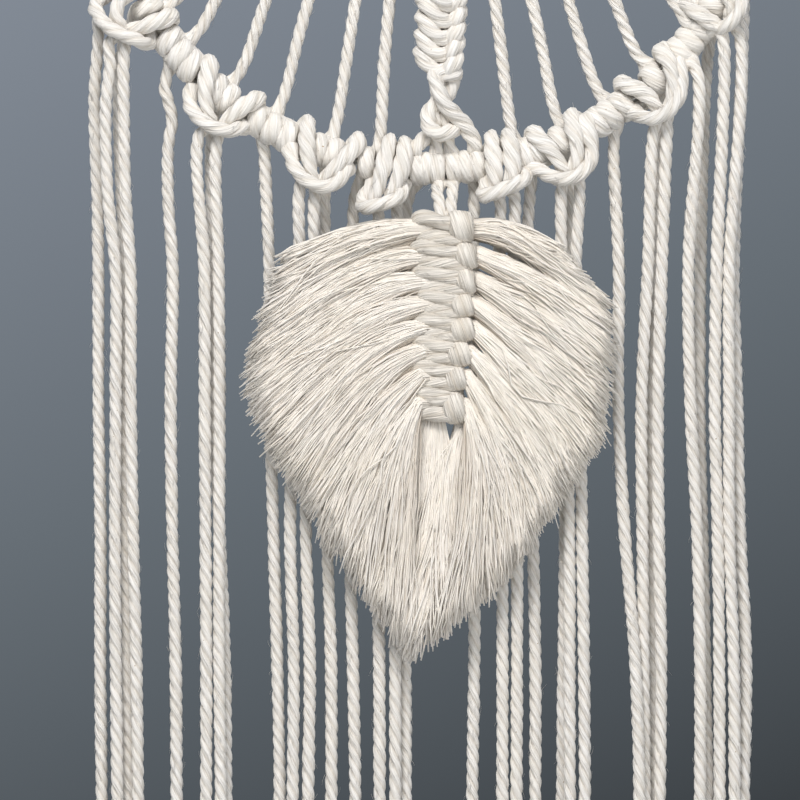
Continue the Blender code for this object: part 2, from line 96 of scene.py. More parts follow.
def curve_through(ctrl, steps=14):
    """Centripetal Catmull-Rom line through points, and where each point falls on it."""
    c = np.array(ctrl, float)
    c = np.vstack([2 * c[0] - c[1], c, 2 * c[-1] - c[-2]])
    out = []
    for i in range(len(c) - 3):
        p0, p1, p2, p3 = c[i:i + 4]
        t0 = 0.0
        t1 = t0 + max(np.linalg.norm(p1 - p0), 1e-6) ** 0.5
        t2 = t1 + max(np.linalg.norm(p2 - p1), 1e-6) ** 0.5
        t3 = t2 + max(np.linalg.norm(p3 - p2), 1e-6) ** 0.5
        n = max(steps, int(np.linalg.norm(p2 - p1) / 2.0))
        t = np.linspace(t1, t2, n, endpoint=False)[:, None]
        a1 = (t1 - t) / (t1 - t0) * p0 + (t - t0) / (t1 - t0) * p1
        a2 = (t2 - t) / (t2 - t1) * p1 + (t - t1) / (t2 - t1) * p2
        a3 = (t3 - t) / (t3 - t2) * p2 + (t - t2) / (t3 - t2) * p3
        b1 = (t2 - t) / (t2 - t0) * a1 + (t - t0) / (t2 - t0) * a2
        b2 = (t3 - t) / (t3 - t1) * a2 + (t - t1) / (t3 - t1) * a3
        out.append((t2 - t) / (t2 - t1) * b1 + (t - t1) / (t2 - t1) * b2)
    starts = np.cumsum([0] + [len(o) for o in out])
    line = np.vstack(out + [c[-2:-1]])
    return line, starts


def spaced(line, step):
    """The line with even spacing, and the arc length of each old point."""
    along = np.concatenate([[0], np.cumsum(np.linalg.norm(np.diff(line, axis=0), axis=1))])
    n = max(3, int(round(along[-1] / step)) + 1)
    s = np.linspace(0, along[-1], n)
    return np.stack([np.interp(s, along, line[:, k]) for k in range(3)], 1), s, along


def frames(p):
    """Tangents and two normals along lines of shape (m, n, 3), without twist."""
    t = np.gradient(p, axis=1)
    t /= np.maximum(np.linalg.norm(t, axis=2, keepdims=True), 1e-12)
    first = np.cross(t[:, 0], np.array([0.0, 1.0, 0.0]))
    weak = np.linalg.norm(first, axis=1) < 0.2
    first[weak] = np.cross(t[weak, 0], np.array([1.0, 0.0, 0.0]))
    n = np.zeros_like(p)
    n[:, 0] = first / np.linalg.norm(first, axis=1, keepdims=True)
    for i in range(p.shape[1] - 1):
        v1 = p[:, i + 1] - p[:, i]
        c1 = np.maximum((v1 * v1).sum(1, keepdims=True), 1e-12)
        rl = n[:, i] - 2 / c1 * (v1 * n[:, i]).sum(1, keepdims=True) * v1
        tl = t[:, i] - 2 / c1 * (v1 * t[:, i]).sum(1, keepdims=True) * v1
        v2 = t[:, i + 1] - tl
        c2 = np.maximum((v2 * v2).sum(1, keepdims=True), 1e-12)
        n[:, i + 1] = rl - 2 / c2 * (v2 * rl).sum(1, keepdims=True) * v2
    n -= (n * t).sum(2, keepdims=True) * t
    n /= np.maximum(np.linalg.norm(n, axis=2, keepdims=True), 1e-12)
    return t, n, np.cross(t, n)


def rolling(count, reach, size, gen):
    """Smooth random numbers along a line."""
    raw = gen.normal(size=count + 8 * reach)
    k = np.hanning(2 * reach + 1)
    out = np.convolve(raw, k / np.sqrt((k * k).sum()), "same")[2 * reach:2 * reach + count]
    return out * size


# ------------------------------------------------------------- mesh building
class Batch:
    """Collects swept strands and turns them into one mesh."""

    def __init__(self, name):
        self.name = name
        self.points, self.loops, self.sizes = [], [], []
        self.uv, self.tone, self.painted_shade = [], [], []
        self.count = 0

    def add(self, verts, quads, quad_uv, caps, tone, painted_shade):
        """verts (k,3) mm; quads (q,4); quad_uv (q,4,2); caps: lists of rings' indices; the last argument is how much
        painted shade each point gets.
        """
        self.points.append(verts)
        self.loops.append((quads + self.count).ravel())
        self.sizes.append(np.full(len(quads), 4, np.int32))
        self.uv.append(quad_uv.reshape(-1, 2))
        for ring, uv in caps:
            self.loops.append(ring.ravel() + self.count)
            self.sizes.append(np.full(ring.shape[0], ring.shape[1], np.int32))
            self.uv.append(uv.reshape(-1, 2))
        self.tone.append(tone)
        self.painted_shade.append(painted_shade)
        self.count += len(verts)

    def build(self, look):
        points = np.concatenate(self.points) * 0.001
        loops = np.concatenate(self.loops).astype(np.int32)
        sizes = np.concatenate(self.sizes)
        mesh = bpy.data.meshes.new(self.name)
        mesh.vertices.add(len(points))
        mesh.vertices.foreach_set("co", points.astype(np.float32).ravel())
        mesh.loops.add(len(loops))
        mesh.loops.foreach_set("vertex_index", loops)
        mesh.polygons.add(len(sizes))
        mesh.polygons.foreach_set("loop_start", np.concatenate([[0], np.cumsum(sizes)[:-1]]).astype(np.int32))
        mesh.update(calc_edges=True)
        mesh.polygons.foreach_set("use_smooth", np.ones(len(sizes), bool))
        layer = mesh.uv_layers.new(name="strand")
        layer.uv.foreach_set("vector", np.concatenate(self.uv).astype(np.float32).ravel())
        # tone is a random tone per strand; the second attribute is the painted shade of each point
        for label, values in (("tone", self.tone), ("painted_shade", self.painted_shade)):
            a = mesh.attributes.new(label, "FLOAT", "POINT")
            a.data.foreach_set("value", np.concatenate(values).astype(np.float32))
        mesh.materials.append(look)
        mesh.validate()
        obj = bpy.data.objects.new(self.name, mesh)
        bpy.context.scene.collection.objects.link(obj)
        return obj


def section(lobes, angles, mid, ply, ply_groove_shade):
    """Cross-section of plies laid together: angle, radius, and the painted shade that darkens the grooves between the
    plies.
    """
    a, r, g = [], [], []
    for k in range(lobes):
        for x in angles:
            c = mid * math.cos(math.radians(x))
            s = mid * math.sin(math.radians(x))
            rad = c + math.sqrt(max(ply * ply - s * s, 0))
            a.append(math.radians(360.0 / lobes * k + x))
            r.append(rad)
            g.append(ply_groove_shade[angles.index(x)])
    return np.array(a), np.array(r), np.array(g, float)


# the last list is painted shade: full in the grooves between the plies, less beside them, none on the crests
THREE_PLY = section(3, [-60, -47, -17, 17, 47], 0.38, 0.61, [1.0, 0.35, 0.0, 0.0, 0.35])


def sweep(batch, p, s, sect, radius, phase, tone, squash=None, ends=(True, True), shift=0.0):
    """Sweeps a cross-section along p (n,3). radius and phase are per ring."""
    _, nx, ny = (x[0] for x in frames(p[None]))
    ang, rad, ply_groove_shade = sect
    m, n = len(ang), len(p)
    th = ang[None, :] + phase[:, None]
    off = (np.cos(th)[:, :, None] * nx[:, None, :] + np.sin(th)[:, :, None] * ny[:, None, :])
    off = off * (rad[None, :, None] * radius[:, None, None])
    if squash is not None:
        way, k_in, k_side = squash
        part = (off * way[:, None, :]).sum(2, keepdims=True) * way[:, None, :]
        off = part * k_in[:, None, None] + (off - part) * k_side[:, None, None]
    verts = (p[:, None, :] + off).reshape(-1, 3)
    i = np.arange(n - 1)[:, None] * m
    j = np.arange(m)[None, :]
    j2 = (j + 1) % m
    quads = np.stack([i + j, i + j2, i + m + j2, i + m + j], 2).reshape(-1, 4)
    arc = (ang - ang[0]) / (2 * math.pi)
    v0 = np.broadcast_to(arc[None, :], (n - 1, m))
    v1 = np.broadcast_to(np.append(arc[1:], 1.0)[None, :], (n - 1, m))
    u0 = np.broadcast_to(s[:-1, None], (n - 1, m))
    u1 = np.broadcast_to(s[1:, None], (n - 1, m))
    uv = np.stack([np.stack([u0, v0 + shift], 2), np.stack([u0, v1 + shift], 2),
                   np.stack([u1, v1 + shift], 2), np.stack([u1, v0 + shift], 2)], 2).reshape(-1, 4, 2)
    caps = []
    if ends[0]:
        caps.append((np.arange(m)[::-1][None, :], np.zeros((1, m, 2))))
    if ends[1]:
        caps.append(((n - 1) * m + np.arange(m)[None, :], np.zeros((1, m, 2))))
    batch.add(verts, quads, uv, caps, np.full(len(verts), tone), np.tile(ply_groove_shade, n))
    return verts


def add_many(batch, p, radius, sides, tone, gen, flat=None, thin=1.0):
    """Sweeps many thin strands at once. p: (m, n, 3); radius: (m, n)."""
    m, n = p.shape[:2]
    t, nx, ny = frames(p)
    turn = gen.uniform(0, 6.28, m)
    ang = np.arange(sides) * 2 * math.pi / sides
    th = ang[None, :] + turn[:, None]
    off = (np.cos(th)[:, None, :, None] * nx[:, :, None, :] + np.sin(th)[:, None, :, None] * ny[:, :, None, :])
    off[..., 1] *= thin
    verts = (p[:, :, None, :] + off * radius[:, :, None, None]).reshape(-1, 3)
    base = (np.arange(m) * n * sides)[:, None, None]
    i = (np.arange(n - 1) * sides)[None, :, None]
    j = np.arange(sides)[None, None, :]
    j2 = (j + 1) % sides
    quads = np.stack([base + i + j, base + i + j2, base + i + sides + j2, base + i + sides + j], 3).reshape(-1, 4)
    step = np.linalg.norm(np.diff(p, axis=1), axis=2)
    s = np.concatenate([np.zeros((m, 1)), np.cumsum(step, axis=1)], 1)
    shape = (m, n - 1, sides)
    u0 = np.broadcast_to(s[:, :-1, None], shape)
    u1 = np.broadcast_to(s[:, 1:, None], shape)
    shift = gen.uniform(0, 50, m)[:, None, None]
    v0 = np.broadcast_to((j / sides) + shift, shape)
    v1 = np.broadcast_to(((j + 1) / sides) + shift, shape)
    uv = np.stack([np.stack([u0, v0], 3), np.stack([u0, v1], 3),
                   np.stack([u1, v1], 3), np.stack([u1, v0], 3)], 3).reshape(-1, 4, 2)
    first = (np.arange(m) * n * sides)[:, None] + np.arange(sides)[::-1][None, :]
    last = (np.arange(m) * n * sides + (n - 1) * sides)[:, None] + np.arange(sides)[None, :]
    cap_uv = np.zeros((m, sides, 2)) + shift
    caps = [(first, cap_uv), (last, cap_uv)]
    # flat is how much painted shade each point gets; none unless given
    if flat is None:
        flat = np.zeros((m, n))
    batch.add(verts, quads, uv, caps, np.repeat(tone, n * sides), np.repeat(flat.ravel(), sides))


def fuzz(batch, p, nx, ny, surface, gen, every=3.0):
    """Loose fibre ends that stand off a cord, as part of the same piece."""
    n = len(p)
    length = np.linalg.norm(np.diff(p, axis=0), axis=1).sum()
    count = int(length / every)
    if count < 1 or n < 8:
        return
    at_i = gen.uniform(1, n - 3, count)
    i0 = at_i.astype(int)
    f = (at_i - i0)[:, None]
    mid = p[i0] * (1 - f) + p[i0 + 1] * f
    t = p[i0 + 1] - p[i0]
    t /= np.linalg.norm(t, axis=1, keepdims=True)
    th = gen.uniform(0, 6.28, count)[:, None]
    out = np.cos(th) * nx[i0] + np.sin(th) * ny[i0]
    side = -np.sin(th) * nx[i0] + np.cos(th) * ny[i0]
    long = gen.uniform(1.0, 3.4, count)[:, None]
    lift = gen.uniform(0.25, 1.0, count)[:, None]
    sway = gen.normal(0, 0.6, count)[:, None]
    sign = np.where(gen.uniform(size=count) < 0.5, -1.0, 1.0)[:, None]
    pts = []
    for k in (0.0, 0.35, 0.7, 1.0):
        pts.append(mid + out * (surface[i0][:, None] * 0.86 + 0.1 + lift * math.sin(k * 1.9) * 0.9)
                   + t * sign * long * k + side * sway * long * k * k * 0.5)
    line = np.stack(pts, 1)
    thick = np.array([0.055, 0.05, 0.04, 0.02])[None, :] * gen.uniform(0.7, 1.2, count)[:, None]
    add_many(batch, line, thick, 3, gen.uniform(0, 1, count), gen)


def near_wire(p):
    """Direction away from the hoop's wire at each point, and the distance."""
    q = p - np.array([0, 0, HOOP_Z])
    r = np.hypot(q[:, 0], q[:, 2])
    out = np.stack([(r - HOOP_R) * q[:, 0] / r, q[:, 1], (r - HOOP_R) * q[:, 2] / r], 1)
    far = np.linalg.norm(out, axis=1)
    return out / np.maximum(far, 1e-6)[:, None], far


batches, declared = {}, []


def batch_of(name):
    if name not in batches:
        batches[name] = Batch(name)
    return batches[name]


def lay(ctrl, pieces, seed, radius=CORD_R, loose=1.0, pitch=PITCH, swell=(), hairs=2.6, spread=0.48):
    """One continuous cord through ctrl, shared out to pieces: (name, first, last
    control point). swell: (first, last, factor). Returns each piece's centre line."""
    gen = np.random.default_rng(seed)
    line, starts = curve_through(ctrl)
    p, s, along = spaced(line, RING * pitch / PITCH)
    n = len(p)
    cut = along[starts]
    way, far = near_wire(p)
    tight = np.clip((7.4 - far) / 2.6, 0, 1)
    big = np.ones(n)
    for first, last, factor in swell:
        inside = np.clip((s - cut[first] + 4) / 8, 0, 1) * np.clip((cut[last] - s + 4) / 8, 0, 1)
        big += (factor - 1) * inside
        tight = np.maximum(tight, 0.55 * inside)
    k_in = 1 - 0.10 * np.clip((7.4 - far) / 2.6, 0, 1)
    k_side = 1 + spread * np.clip((7.4 - far) / 2.6, 0, 1)
    rate = -2 * math.pi / (pitch * (1 + 0.45 * tight)) * (1 + 0.05 * np.clip(rolling(n, 9, 1.0, gen), -2, 2))
    phase = np.concatenate([[0], np.cumsum(rate[1:] * np.diff(s))]) + gen.uniform(0, 6.28)
    fat = radius * (1 + 0.022 * np.clip(rolling(n, 7, 1.0, gen), -2, 2)) * loose * big
    tone = gen.uniform(0, 1)
    shift = gen.uniform(0, 50)
    _, nx, ny = (x[0] for x in frames(p[None]))
    made = {}
    for name, first, last in pieces:
        a = 0 if first == 0 else int(round(cut[first] / s[1]))
        b = n - 1 if last in (-1, len(ctrl) - 1) else int(round(cut[last] / s[1]))
        sub = slice(a, b + 1)
        b_name = batch_of(name)
        sweep_part(b_name, p, s, sub, fat, phase, tone, (way, k_in, k_side), shift, nx, ny, tight)
        if hairs:
            fuzz(b_name, p[sub], nx[sub], ny[sub], (fat * k_in)[sub], gen, hairs)
        made[name] = p[sub]
    return made


def sweep_part(batch, p, s, sub, fat, phase, tone, squash, shift, nx, ny, tight):
    """Part of a sweep, whose frames come from the whole line, so that parts meet."""
    ang, rad, ply_groove_shade = THREE_PLY
    m = len(ang)
    way, k_in, k_side = squash
    soft = rad[None, :] + (0.94 - rad[None, :]) * 0.42 * tight[sub][:, None]
    th = ang[None, :] + phase[sub, None]
    off = np.cos(th)[:, :, None] * nx[sub][:, None, :] + np.sin(th)[:, :, None] * ny[sub][:, None, :]
    off = off * (soft * fat[sub][:, None])[:, :, None]
    w = way[sub][:, None, :]
    part = (off * w).sum(2, keepdims=True) * w
    off = part * k_in[sub][:, None, None] + (off - part) * k_side[sub][:, None, None]
    q = p[sub]
    n = len(q)
    verts = (q[:, None, :] + off).reshape(-1, 3)
    i = np.arange(n - 1)[:, None] * m
    j = np.arange(m)[None, :]
    j2 = (j + 1) % m
    quads = np.stack([i + j, i + j2, i + m + j2, i + m + j], 2).reshape(-1, 4)
    arc = (ang - ang[0]) / (2 * math.pi)
    v0 = np.broadcast_to(arc[None, :], (n - 1, m)) + shift
    v1 = np.broadcast_to(np.append(arc[1:], 1.0)[None, :], (n - 1, m)) + shift
    ss = s[sub]
    u0 = np.broadcast_to(ss[:-1, None], (n - 1, m))
    u1 = np.broadcast_to(ss[1:, None], (n - 1, m))
    uv = np.stack([np.stack([u0, v0], 2), np.stack([u0, v1], 2),
                   np.stack([u1, v1], 2), np.stack([u1, v0], 2)], 2).reshape(-1, 4, 2)
    flat = np.zeros((1, m, 2))
    flat[..., 1] = shift
    caps = [(np.arange(m)[::-1][None, :], flat + [ss[0], 0]),
            ((n - 1) * m + np.arange(m)[None, :], flat + [ss[-1], 0])]
    # painted shade in the grooves between the plies, weaker where the cord is pressed tight
    depth = ply_groove_shade[None, :] * (1 - 0.45 * tight[sub][:, None])
    batch.add(verts, quads, uv, caps, np.full(len(verts), tone), depth.ravel())


# -------------------------------------------------------------------- camera
cam_data = bpy.data.cameras.new("camera")
cam = bpy.data.objects.new("camera", cam_data)
bpy.context.scene.collection.objects.link(cam)
cam_data.sensor_width = 36.0
cam_data.lens = 36.0 * VIEW_FROM / VIEW_W
cam_data.clip_start, cam_data.clip_end = 0.05, 50.0
cam.location = (VIEW_X * 0.001, -VIEW_FROM * 0.001, (HOOP_Z - VIEW_DROP) * 0.001)
cam.rotation_euler = (math.radians(90), 0, 0)
bpy.context.scene.camera = cam

# -------------------------------------------------------------------- tables
# Hanging ends, as in the CAD: leave, out0, y0, x1, y1, drop1, x170, x290, x400, y170, y290
TAILS = {
    "p": (-75.5, 2.6, 3.2, -101.6, 3.4, 46.0, -100.9, -99.9, -99.2, 2.0, 1.4),
    "a1": (-62.2, 4.4, -5.0, -97.2, -4.2, 62.0, -95.4, -94.9, -95.2, -2.6, -2.4),
    "a2": (-56.6, 4.4, -5.0, -92.8, -4.2, 66.0, -90.8, -88.6, -88.0, -2.6, -2.4),
    "am": (-60.0, 2.6, 3.6, -94.0, 5.8, 64.0, -93.1, -91.6, -91.4, 2.2, 1.9),
    "b": (-49.4, 2.6, 3.2, -80.8, 3.8, 75.0, -78.9, -77.0, -77.2, 2.0, 0.0),
    "c1": (-43.0, 4.4, -5.0, -69.9, -4.2, 90.0, -68.3, -67.9, -68.4, -2.8, -2.6),
    "c2": (-35.2, 4.4, -5.0, -64.8, -4.2, 94.0, -63.8, -63.4, -63.8, -2.8, -2.6),
    "cm": (-39.1, 2.6, 3.4, -66.6, 4.4, 92.0, -66.0, -61.9, -60.4, 2.6, 2.2),
    "d": (-29.4, 2.6, 3.2, -50.2, 3.8, 98.0, -48.6, -45.6, -45.6, 2.0, 0.9),
    "e1": (-22.4, 4.4, -5.0, -38.6, -4.2, 104.0, -41.0, -41.6, -41.2, -2.8, -2.4),
    "e2": (-14.7, 4.4, -5.0, -34.2, -4.2, 105.0, -36.6, -36.9, -36.6, -2.8, -2.4),
    "em": (-17.6, 2.6, 3.4, -31.9, 4.4, 105.5, -31.5, -29.9, -30.0, 2.6, 1.8),
    "f": (-11.0, 2.6, 3.2, -22.6, 3.8, 107.5, -24.3, -22.6, -22.8, 2.6, 0.0),
    "g1": (-7.8, 4.4, -5.0, -16.0, -4.2, 110.5, -16.2, -15.2, -15.6, -3.0, -2.4),
    "g2": (-5.0, 4.4, -5.0, -10.4, -4.2, 110.5, -10.8, -10.4, -10.9, -3.0, -2.4),
    "sl": (-1.6, 2.6, 3.2, -6.6, 4.8, 109.5, -7.3, -7.2, -7.4, 3.2, 1.8),
    "sr": (7.6, 2.6, 3.2, 13.6, 3.8, 109.5, 13.7, 13.0, 12.6, 3.0, 1.0),
    "i1": (11.5, 4.4, -5.0, 21.2, -4.2, 108.5, 21.6, 22.1, 21.6, -3.0, -2.6),
    "i2": (14.6, 4.4, -5.0, 25.6, -4.2, 108.3, 26.0, 26.4, 26.2, -3.0, -2.4),
    "im": (18.1, 2.6, 3.2, 30.8, 4.0, 106.5, 30.8, 32.2, 31.8, 2.8, 0.6),
    "k1": (21.1, 4.4, -5.0, 40.4, -4.2, 104.0, 41.4, 42.6, 42.4, -2.8, -2.6),
    "k2": (26.3, 4.4, -5.0, 44.9, -4.2, 102.5, 45.7, 47.2, 46.9, -2.8, -2.4),
    "km": (23.6, 2.6, 3.4, 42.6, 4.6, 102.5, 41.8, 40.4, 39.8, 3.0, 2.6),
    "l": (33.6, 2.6, 3.2, 56.2, 3.8, 94.0, 57.4, 63.6, 63.2, 0.2, -5.8),
    "m1": (39.1, 4.4, -5.0, 68.0, -4.2, 89.0, 64.4, 65.6, 65.6, -2.8, -0.6),
    "m2": (45.4, 4.4, -5.0, 72.1, -4.2, 86.5, 69.4, 70.0, 70.2, -2.8, -2.4),
    "mm": (42.7, 2.6, 3.6, 71.0, 6.0, 86.5, 67.6, 68.2, 68.0, 2.8, 3.9),
    "n": (52.2, 3.4, -4.2, 81.4, -4.6, 72.0, 79.2, 82.2, 82.0, -3.2, -2.6),
    "om": (61.4, 0.0, 7.0, 85.2, 9.6, 66.0, 82.4, 84.8, 85.0, 3.2, 1.9),
    "o1": (58.0, 4.4, -5.0, 89.2, -4.8, 62.0, 86.6, 88.1, 88.0, -3.0, -2.4),
    "o2": (63.5, 4.6, -5.2, 94.2, -4.2, 60.0, 91.0, 92.7, 92.6, -3.0, -2.4),
    "q": (71.0, 0.0, 7.0, 96.2, 8.8, 48.0, 93.8, 95.8, 95.4, 2.6, 2.0),
}
# Small bends of each end in between: change of x at drops 130, 210 and 250.
SWAY = {
    "p": (0.0, 0.3, -0.1), "a1": (0.2, -0.4, -0.3), "a2": (0.2, -0.1, 0.2), "am": (0, 0, 0),
    "b": (0.9, -0.1, 0.3), "c1": (0.3, 0.1, 0.2), "c2": (0.0, -0.3, -0.4), "cm": (0, 0.6, 0.9),
    "d": (0.2, 0.0, 0.2), "e1": (0.6, -1.2, 0.1), "e2": (0.5, -0.9, 0.4), "em": (0, -0.3, 0.4),
    "f": (0.1, -0.6, -0.2), "g1": (0, 0, 0.2), "g2": (0, 0.1, 0.1), "sl": (0, 0, -0.1),
    "sr": (-0.3, 0.3, 0.4), "i1": (-0.3, 0.3, 0.2), "i2": (-0.5, 0.4, 0.3), "im": (-1.3, 0.2, 0.5),
    "k1": (-0.9, 0.6, 0.3), "k2": (-1.0, 0.1, 0.2), "km": (0, 0, 0), "l": (0.6, -0.2, 0.9),
    "m1": (1.0, -0.1, -0.1), "m2": (0.5, 0.0, 0.6), "mm": (0, 0, 0), "n": (-1.0, 1.0, 1.0),
    "om": (0, 0, 0), "o1": (0.2, 0.4, 0.4), "o2": (-0.4, -0.5, 0.3), "q": (-1.2, 0.2, 1.4),
}

# Bends near the top of some ends: (drop, x).
BENDS = {
    "p": [(59.3, -101.0), (70.0, -101.8), (79.1, -102.3), (88.3, -102.1), (109.6, -101.3)],
    "a1": [(68.5, -97.0), (79.1, -98.2), (88.3, -98.4), (109.6, -97.6)],
    "a2": [(79.1, -92.9), (109.6, -92.3)],
    "b": [(79.6, -79.6), (85.2, -78.5), (89.8, -79.3), (94.8, -79.8), (109.6, -79.7)],
}

# Fan cords and the turns that each makes on the hoop.
#   slot_x, slot_y, angle where it comes in, turns as (inner end, outer end)
FANS = {
    "p": (-9.1, 0.0, -74.0, [(-78.4, -78.0), (-75.4, -75.1), (-72.6, -72.4)]),
    "a": (-6.6, -3.8, -58.0, [(-59.2, -59.5)]),
    "b": (-6.6, 3.8, -50.6, [(-52.7, -52.3), (-49.6, -49.0), (-46.8, -46.1)]),
    "c": (-4.4, -7.6, -39.4, [(-41.1, -39.6), (-37.9, -37.6)]),
    "d": (-4.4, 0.0, -29.6, [(-31.9, -31.4), (-28.6, -28.4), (-25.6, -25.4)]),
    "e": (-4.4, 7.6, -18.3, [(-20.0, -19.5), (-16.9, -17.0)]),
    "f": (-2.2, 3.8, -9.5, [(-11.4, -10.8)]),
    "i": (2.2, 3.8, 15.9, [(17.3, 16.6), (19.3, 18.9)]),
    "k": (4.4, 7.6, 24.9, [(23.3, 23.6)]),
    "l": (4.4, 0.0, 34.1, [(30.4, 30.7), (32.8, 33.6), (35.7, 36.6)]),
    "m": (4.4, -7.6, 44.2, [(43.4, 43.2)]),
    "n": (6.6, 3.8, 56.0, [(54.9, 55.0), (52.3, 52.2), (49.9, 49.7)]),
    "o": (6.6, -3.8, 59.4, [(59.8, 60.0)]),
    "q": (9.1, 0.0, 72.0, [(69.9, 70.2), (73.2, 73.4), (76.1, 76.4)]),
}

# Folded cords: the two legs from under the bar up to the hoop's inner side, and
# the bar across them. Points are (u, v, depth), the last two numbers are the
# angles where the bar's ends go up behind the hoop.
LOOPS = {
    "a": ([(121, 29, -5.0), (116, 16, -5.8), (119, 3, -6.3), (133, -9, -5.9), (150, -18, -2.0)],
          [(96, 4, -1.0), (98, 15, -5.0), (107, 26, -7.8), (122, 34.5, -8.8), (136, 39.5, -8.2), (146, 43.5, -4.8)],
          [(128, 31, -4.8), (139, 28, -5.8), (154, 22.5, -6.2), (166, 18, -4.6), (173, 15, -1.2)],
          -64.6, -54.6),
    "c": ([(212, 124, -4.6), (208, 113, -5.8), (205, 92, -6.3), (208, 72, -5.0), (211, 62, -1.6)],
          [(191, 93, -0.8), (190, 105, -4.4), (197, 116, -7.4), (211, 126, -8.8), (227, 130.5, -8.6), (240, 127.5, -5.2)],
          [(222, 126, -4.8), (230, 117, -6.0), (241, 108, -6.2), (252, 101, -4.4), (259, 97, -1.2)],
          -43.4, -33.2),
    "e": ([(312.5, 183, -4.6), (310, 169, -5.8), (307, 147, -6.3), (307, 130, -5.0), (308, 121, -1.6)],
          [(292, 146, -0.8), (291, 157, -4.4), (296, 170, -7.4), (309, 182, -8.8), (326, 187, -8.6), (339, 180, -7.2), (347, 168, -4.2)],
          [(322, 182, -4.8), (330, 172, -6.0), (343, 160, -6.3), (354, 148, -5.2), (358, 138, -1.6)],
          -23.0, -15.0),
    "g": ([(374, 203, -4.8), (378, 188, -5.6), (383, 168, -5.8), (387, 150, -4.8), (390, 139, -1.4)],
          [(363, 199, -3.4), (363, 207, -6.4), (372, 206.5, -8.8), (385, 203, -9.2), (396, 199, -8.4), (402, 192, -5.0)],
          [(389, 198, -4.8), (396, 184, -5.6), (402, 166, -5.8), (404, 152, -4.8), (405, 142, -1.4)],
          -8.8, -4.6),
    "i": ([(496, 190, -4.8), (495, 178, -5.6), (494, 162, -5.8), (492, 146, -4.6), (491, 136, -1.4)],
          [(484, 190, -4.2), (484, 196, -7.4), (493, 193.5, -9.2), (505, 188.5, -9.2), (517, 183.5, -8.6), (525, 178, -5.2)],
          [(508, 186, -4.8), (512, 174, -5.6), (512, 158, -5.8), (510, 143, -4.8), (508, 134, -1.4)],
          10.2, 16.0),
    "k": ([(566, 176, -4.8), (560, 164, -5.8), (550, 149, -6.3), (538, 138, -5.0), (533, 131, -1.6)],
          [(533, 166, -0.6), (541, 171, -4.8), (552, 177, -8.0), (566, 179, -9.0), (580, 174, -8.4), (590, 162, -6.2), (592, 149, -5.2), (588, 134, -5.2), (583, 119, -3.8)],
          [(571, 174, -4.8), (576, 161, -5.8), (577, 144, -6.4), (573, 127, -5.6), (571, 114, -1.8)],
          19.9, 27.6),
    "m": ([(659, 113, -4.8), (654, 103, -5.8), (643, 92, -6.4), (629, 86, -5.4), (620, 82, -1.6)],
          [(633, 110, -0.6), (640, 115.5, -4.8), (651, 118.5, -8.0), (664, 114.5, -9.0), (675, 104, -8.6), (681, 91, -7.2), (681, 77, -5.8), (679, 66, -3.6)],
          [(668, 110, -5.0), (672, 98, -6.0), (673, 80, -6.8), (669, 63, -6.4), (660, 49, -2.2)],
          38.5, 48.8),
    "o": ([(720, 30, -4.8), (714, 24, -5.8), (702, 16, -6.2), (690, 8, -4.8), (684, 3, -1.4)],
          [(710, 28, -0.8), (719, 29, -5.0), (729, 24, -8.2), (738, 14, -9.0), (743, 0, -8.2), (743, -14, -4.8)],
          [(730, 18, -5.0), (732, 5, -6.0), (724, -12, -6.4), (713, -24, -5.0), (706, -29, -1.6)],
          56.6, 65.8),
}


def tail_ctrl(key, first):
    """Points of a hanging end after it has left its knot. The argument first is not used."""
    leave, out0, y0, x1, y1, d1, x170, x290, x400, y170, y290 = TAILS[key]
    s130, s210, s250 = SWAY[key]

    def x_of(d):
        if d < 170:
            f = (d - d1) / (170 - d1)
            return x1 + (x170 - x1) * (1 - (1 - f) ** 2)
        if d < 290:
            return x170 + (x290 - x170) * (d - 170) / 120
        return x290 + (x400 - x290) * (d - 290) / 110

    def y_of(d):
        if d < 170:
            return y1 + (y170 - y1) * (d - d1) / (170 - d1)
        return y170 + (y290 - y170) * min(1.0, (d - 170) / 120)

    pts = [at(x1, y1, d1)]
    pts += [at(x, y_of(d), d) for d, x in BENDS.get(key, [])]
    for d, sway in ((130, s130), (170, 0), (210, s210), (250, s250), (290, 0), (330, 0), (366, 0), (CUT_DROP, 0)):
        if d > d1 + 14:
            pts.append(at(x_of(d) + sway, y_of(d), d))
    return pts


def coil(turns, start, end, first_phi, last_phi, over=False, back=4.0):
    """Points of turns round the wire. The cord comes in at angle start and goes
    out at angle end; turns are (inner end, outer end) in degrees."""
    marks = []
    if over:                     # comes down over the front
        marks.append((first_phi, start))
        for k, (inner, outer) in enumerate(turns):
            marks.append((20 + 360 * k, inner))
            marks.append((160 + 360 * k, outer))
        marks.append((last_phi + 360 * (len(turns) - 1), end))
    else:                        # goes down behind first, up over the front
        marks.append((first_phi, start))
        for k, (inner, outer) in enumerate(turns):
            marks.append((-200 - 360 * k, outer))
            marks.append((-340 - 360 * k, inner))
        marks.append((last_phi - 360 * len(turns), end))
    phis = [m[0] for m in marks]
    angs = [m[1] for m in marks]
    n = int(abs(phis[-1] - phis[0]) / 30) + 1
    sweep_phi = np.linspace(phis[0], phis[-1], n + 1)
    order = 1 if phis[-1] > phis[0] else -1
    a = np.interp(order * sweep_phi, order * np.array(phis), angs)
    pts = []
    for ph, an in zip(sweep_phi, a):
        behind = max(0.0, -math.sin(math.radians(ph)))
        pts.append(ring_at(an, ph, 3.55 + (back - 3.55) * behind))
    return pts


exits = {}


def hang(key, made, name):
    declared.append((name, made[name], key))


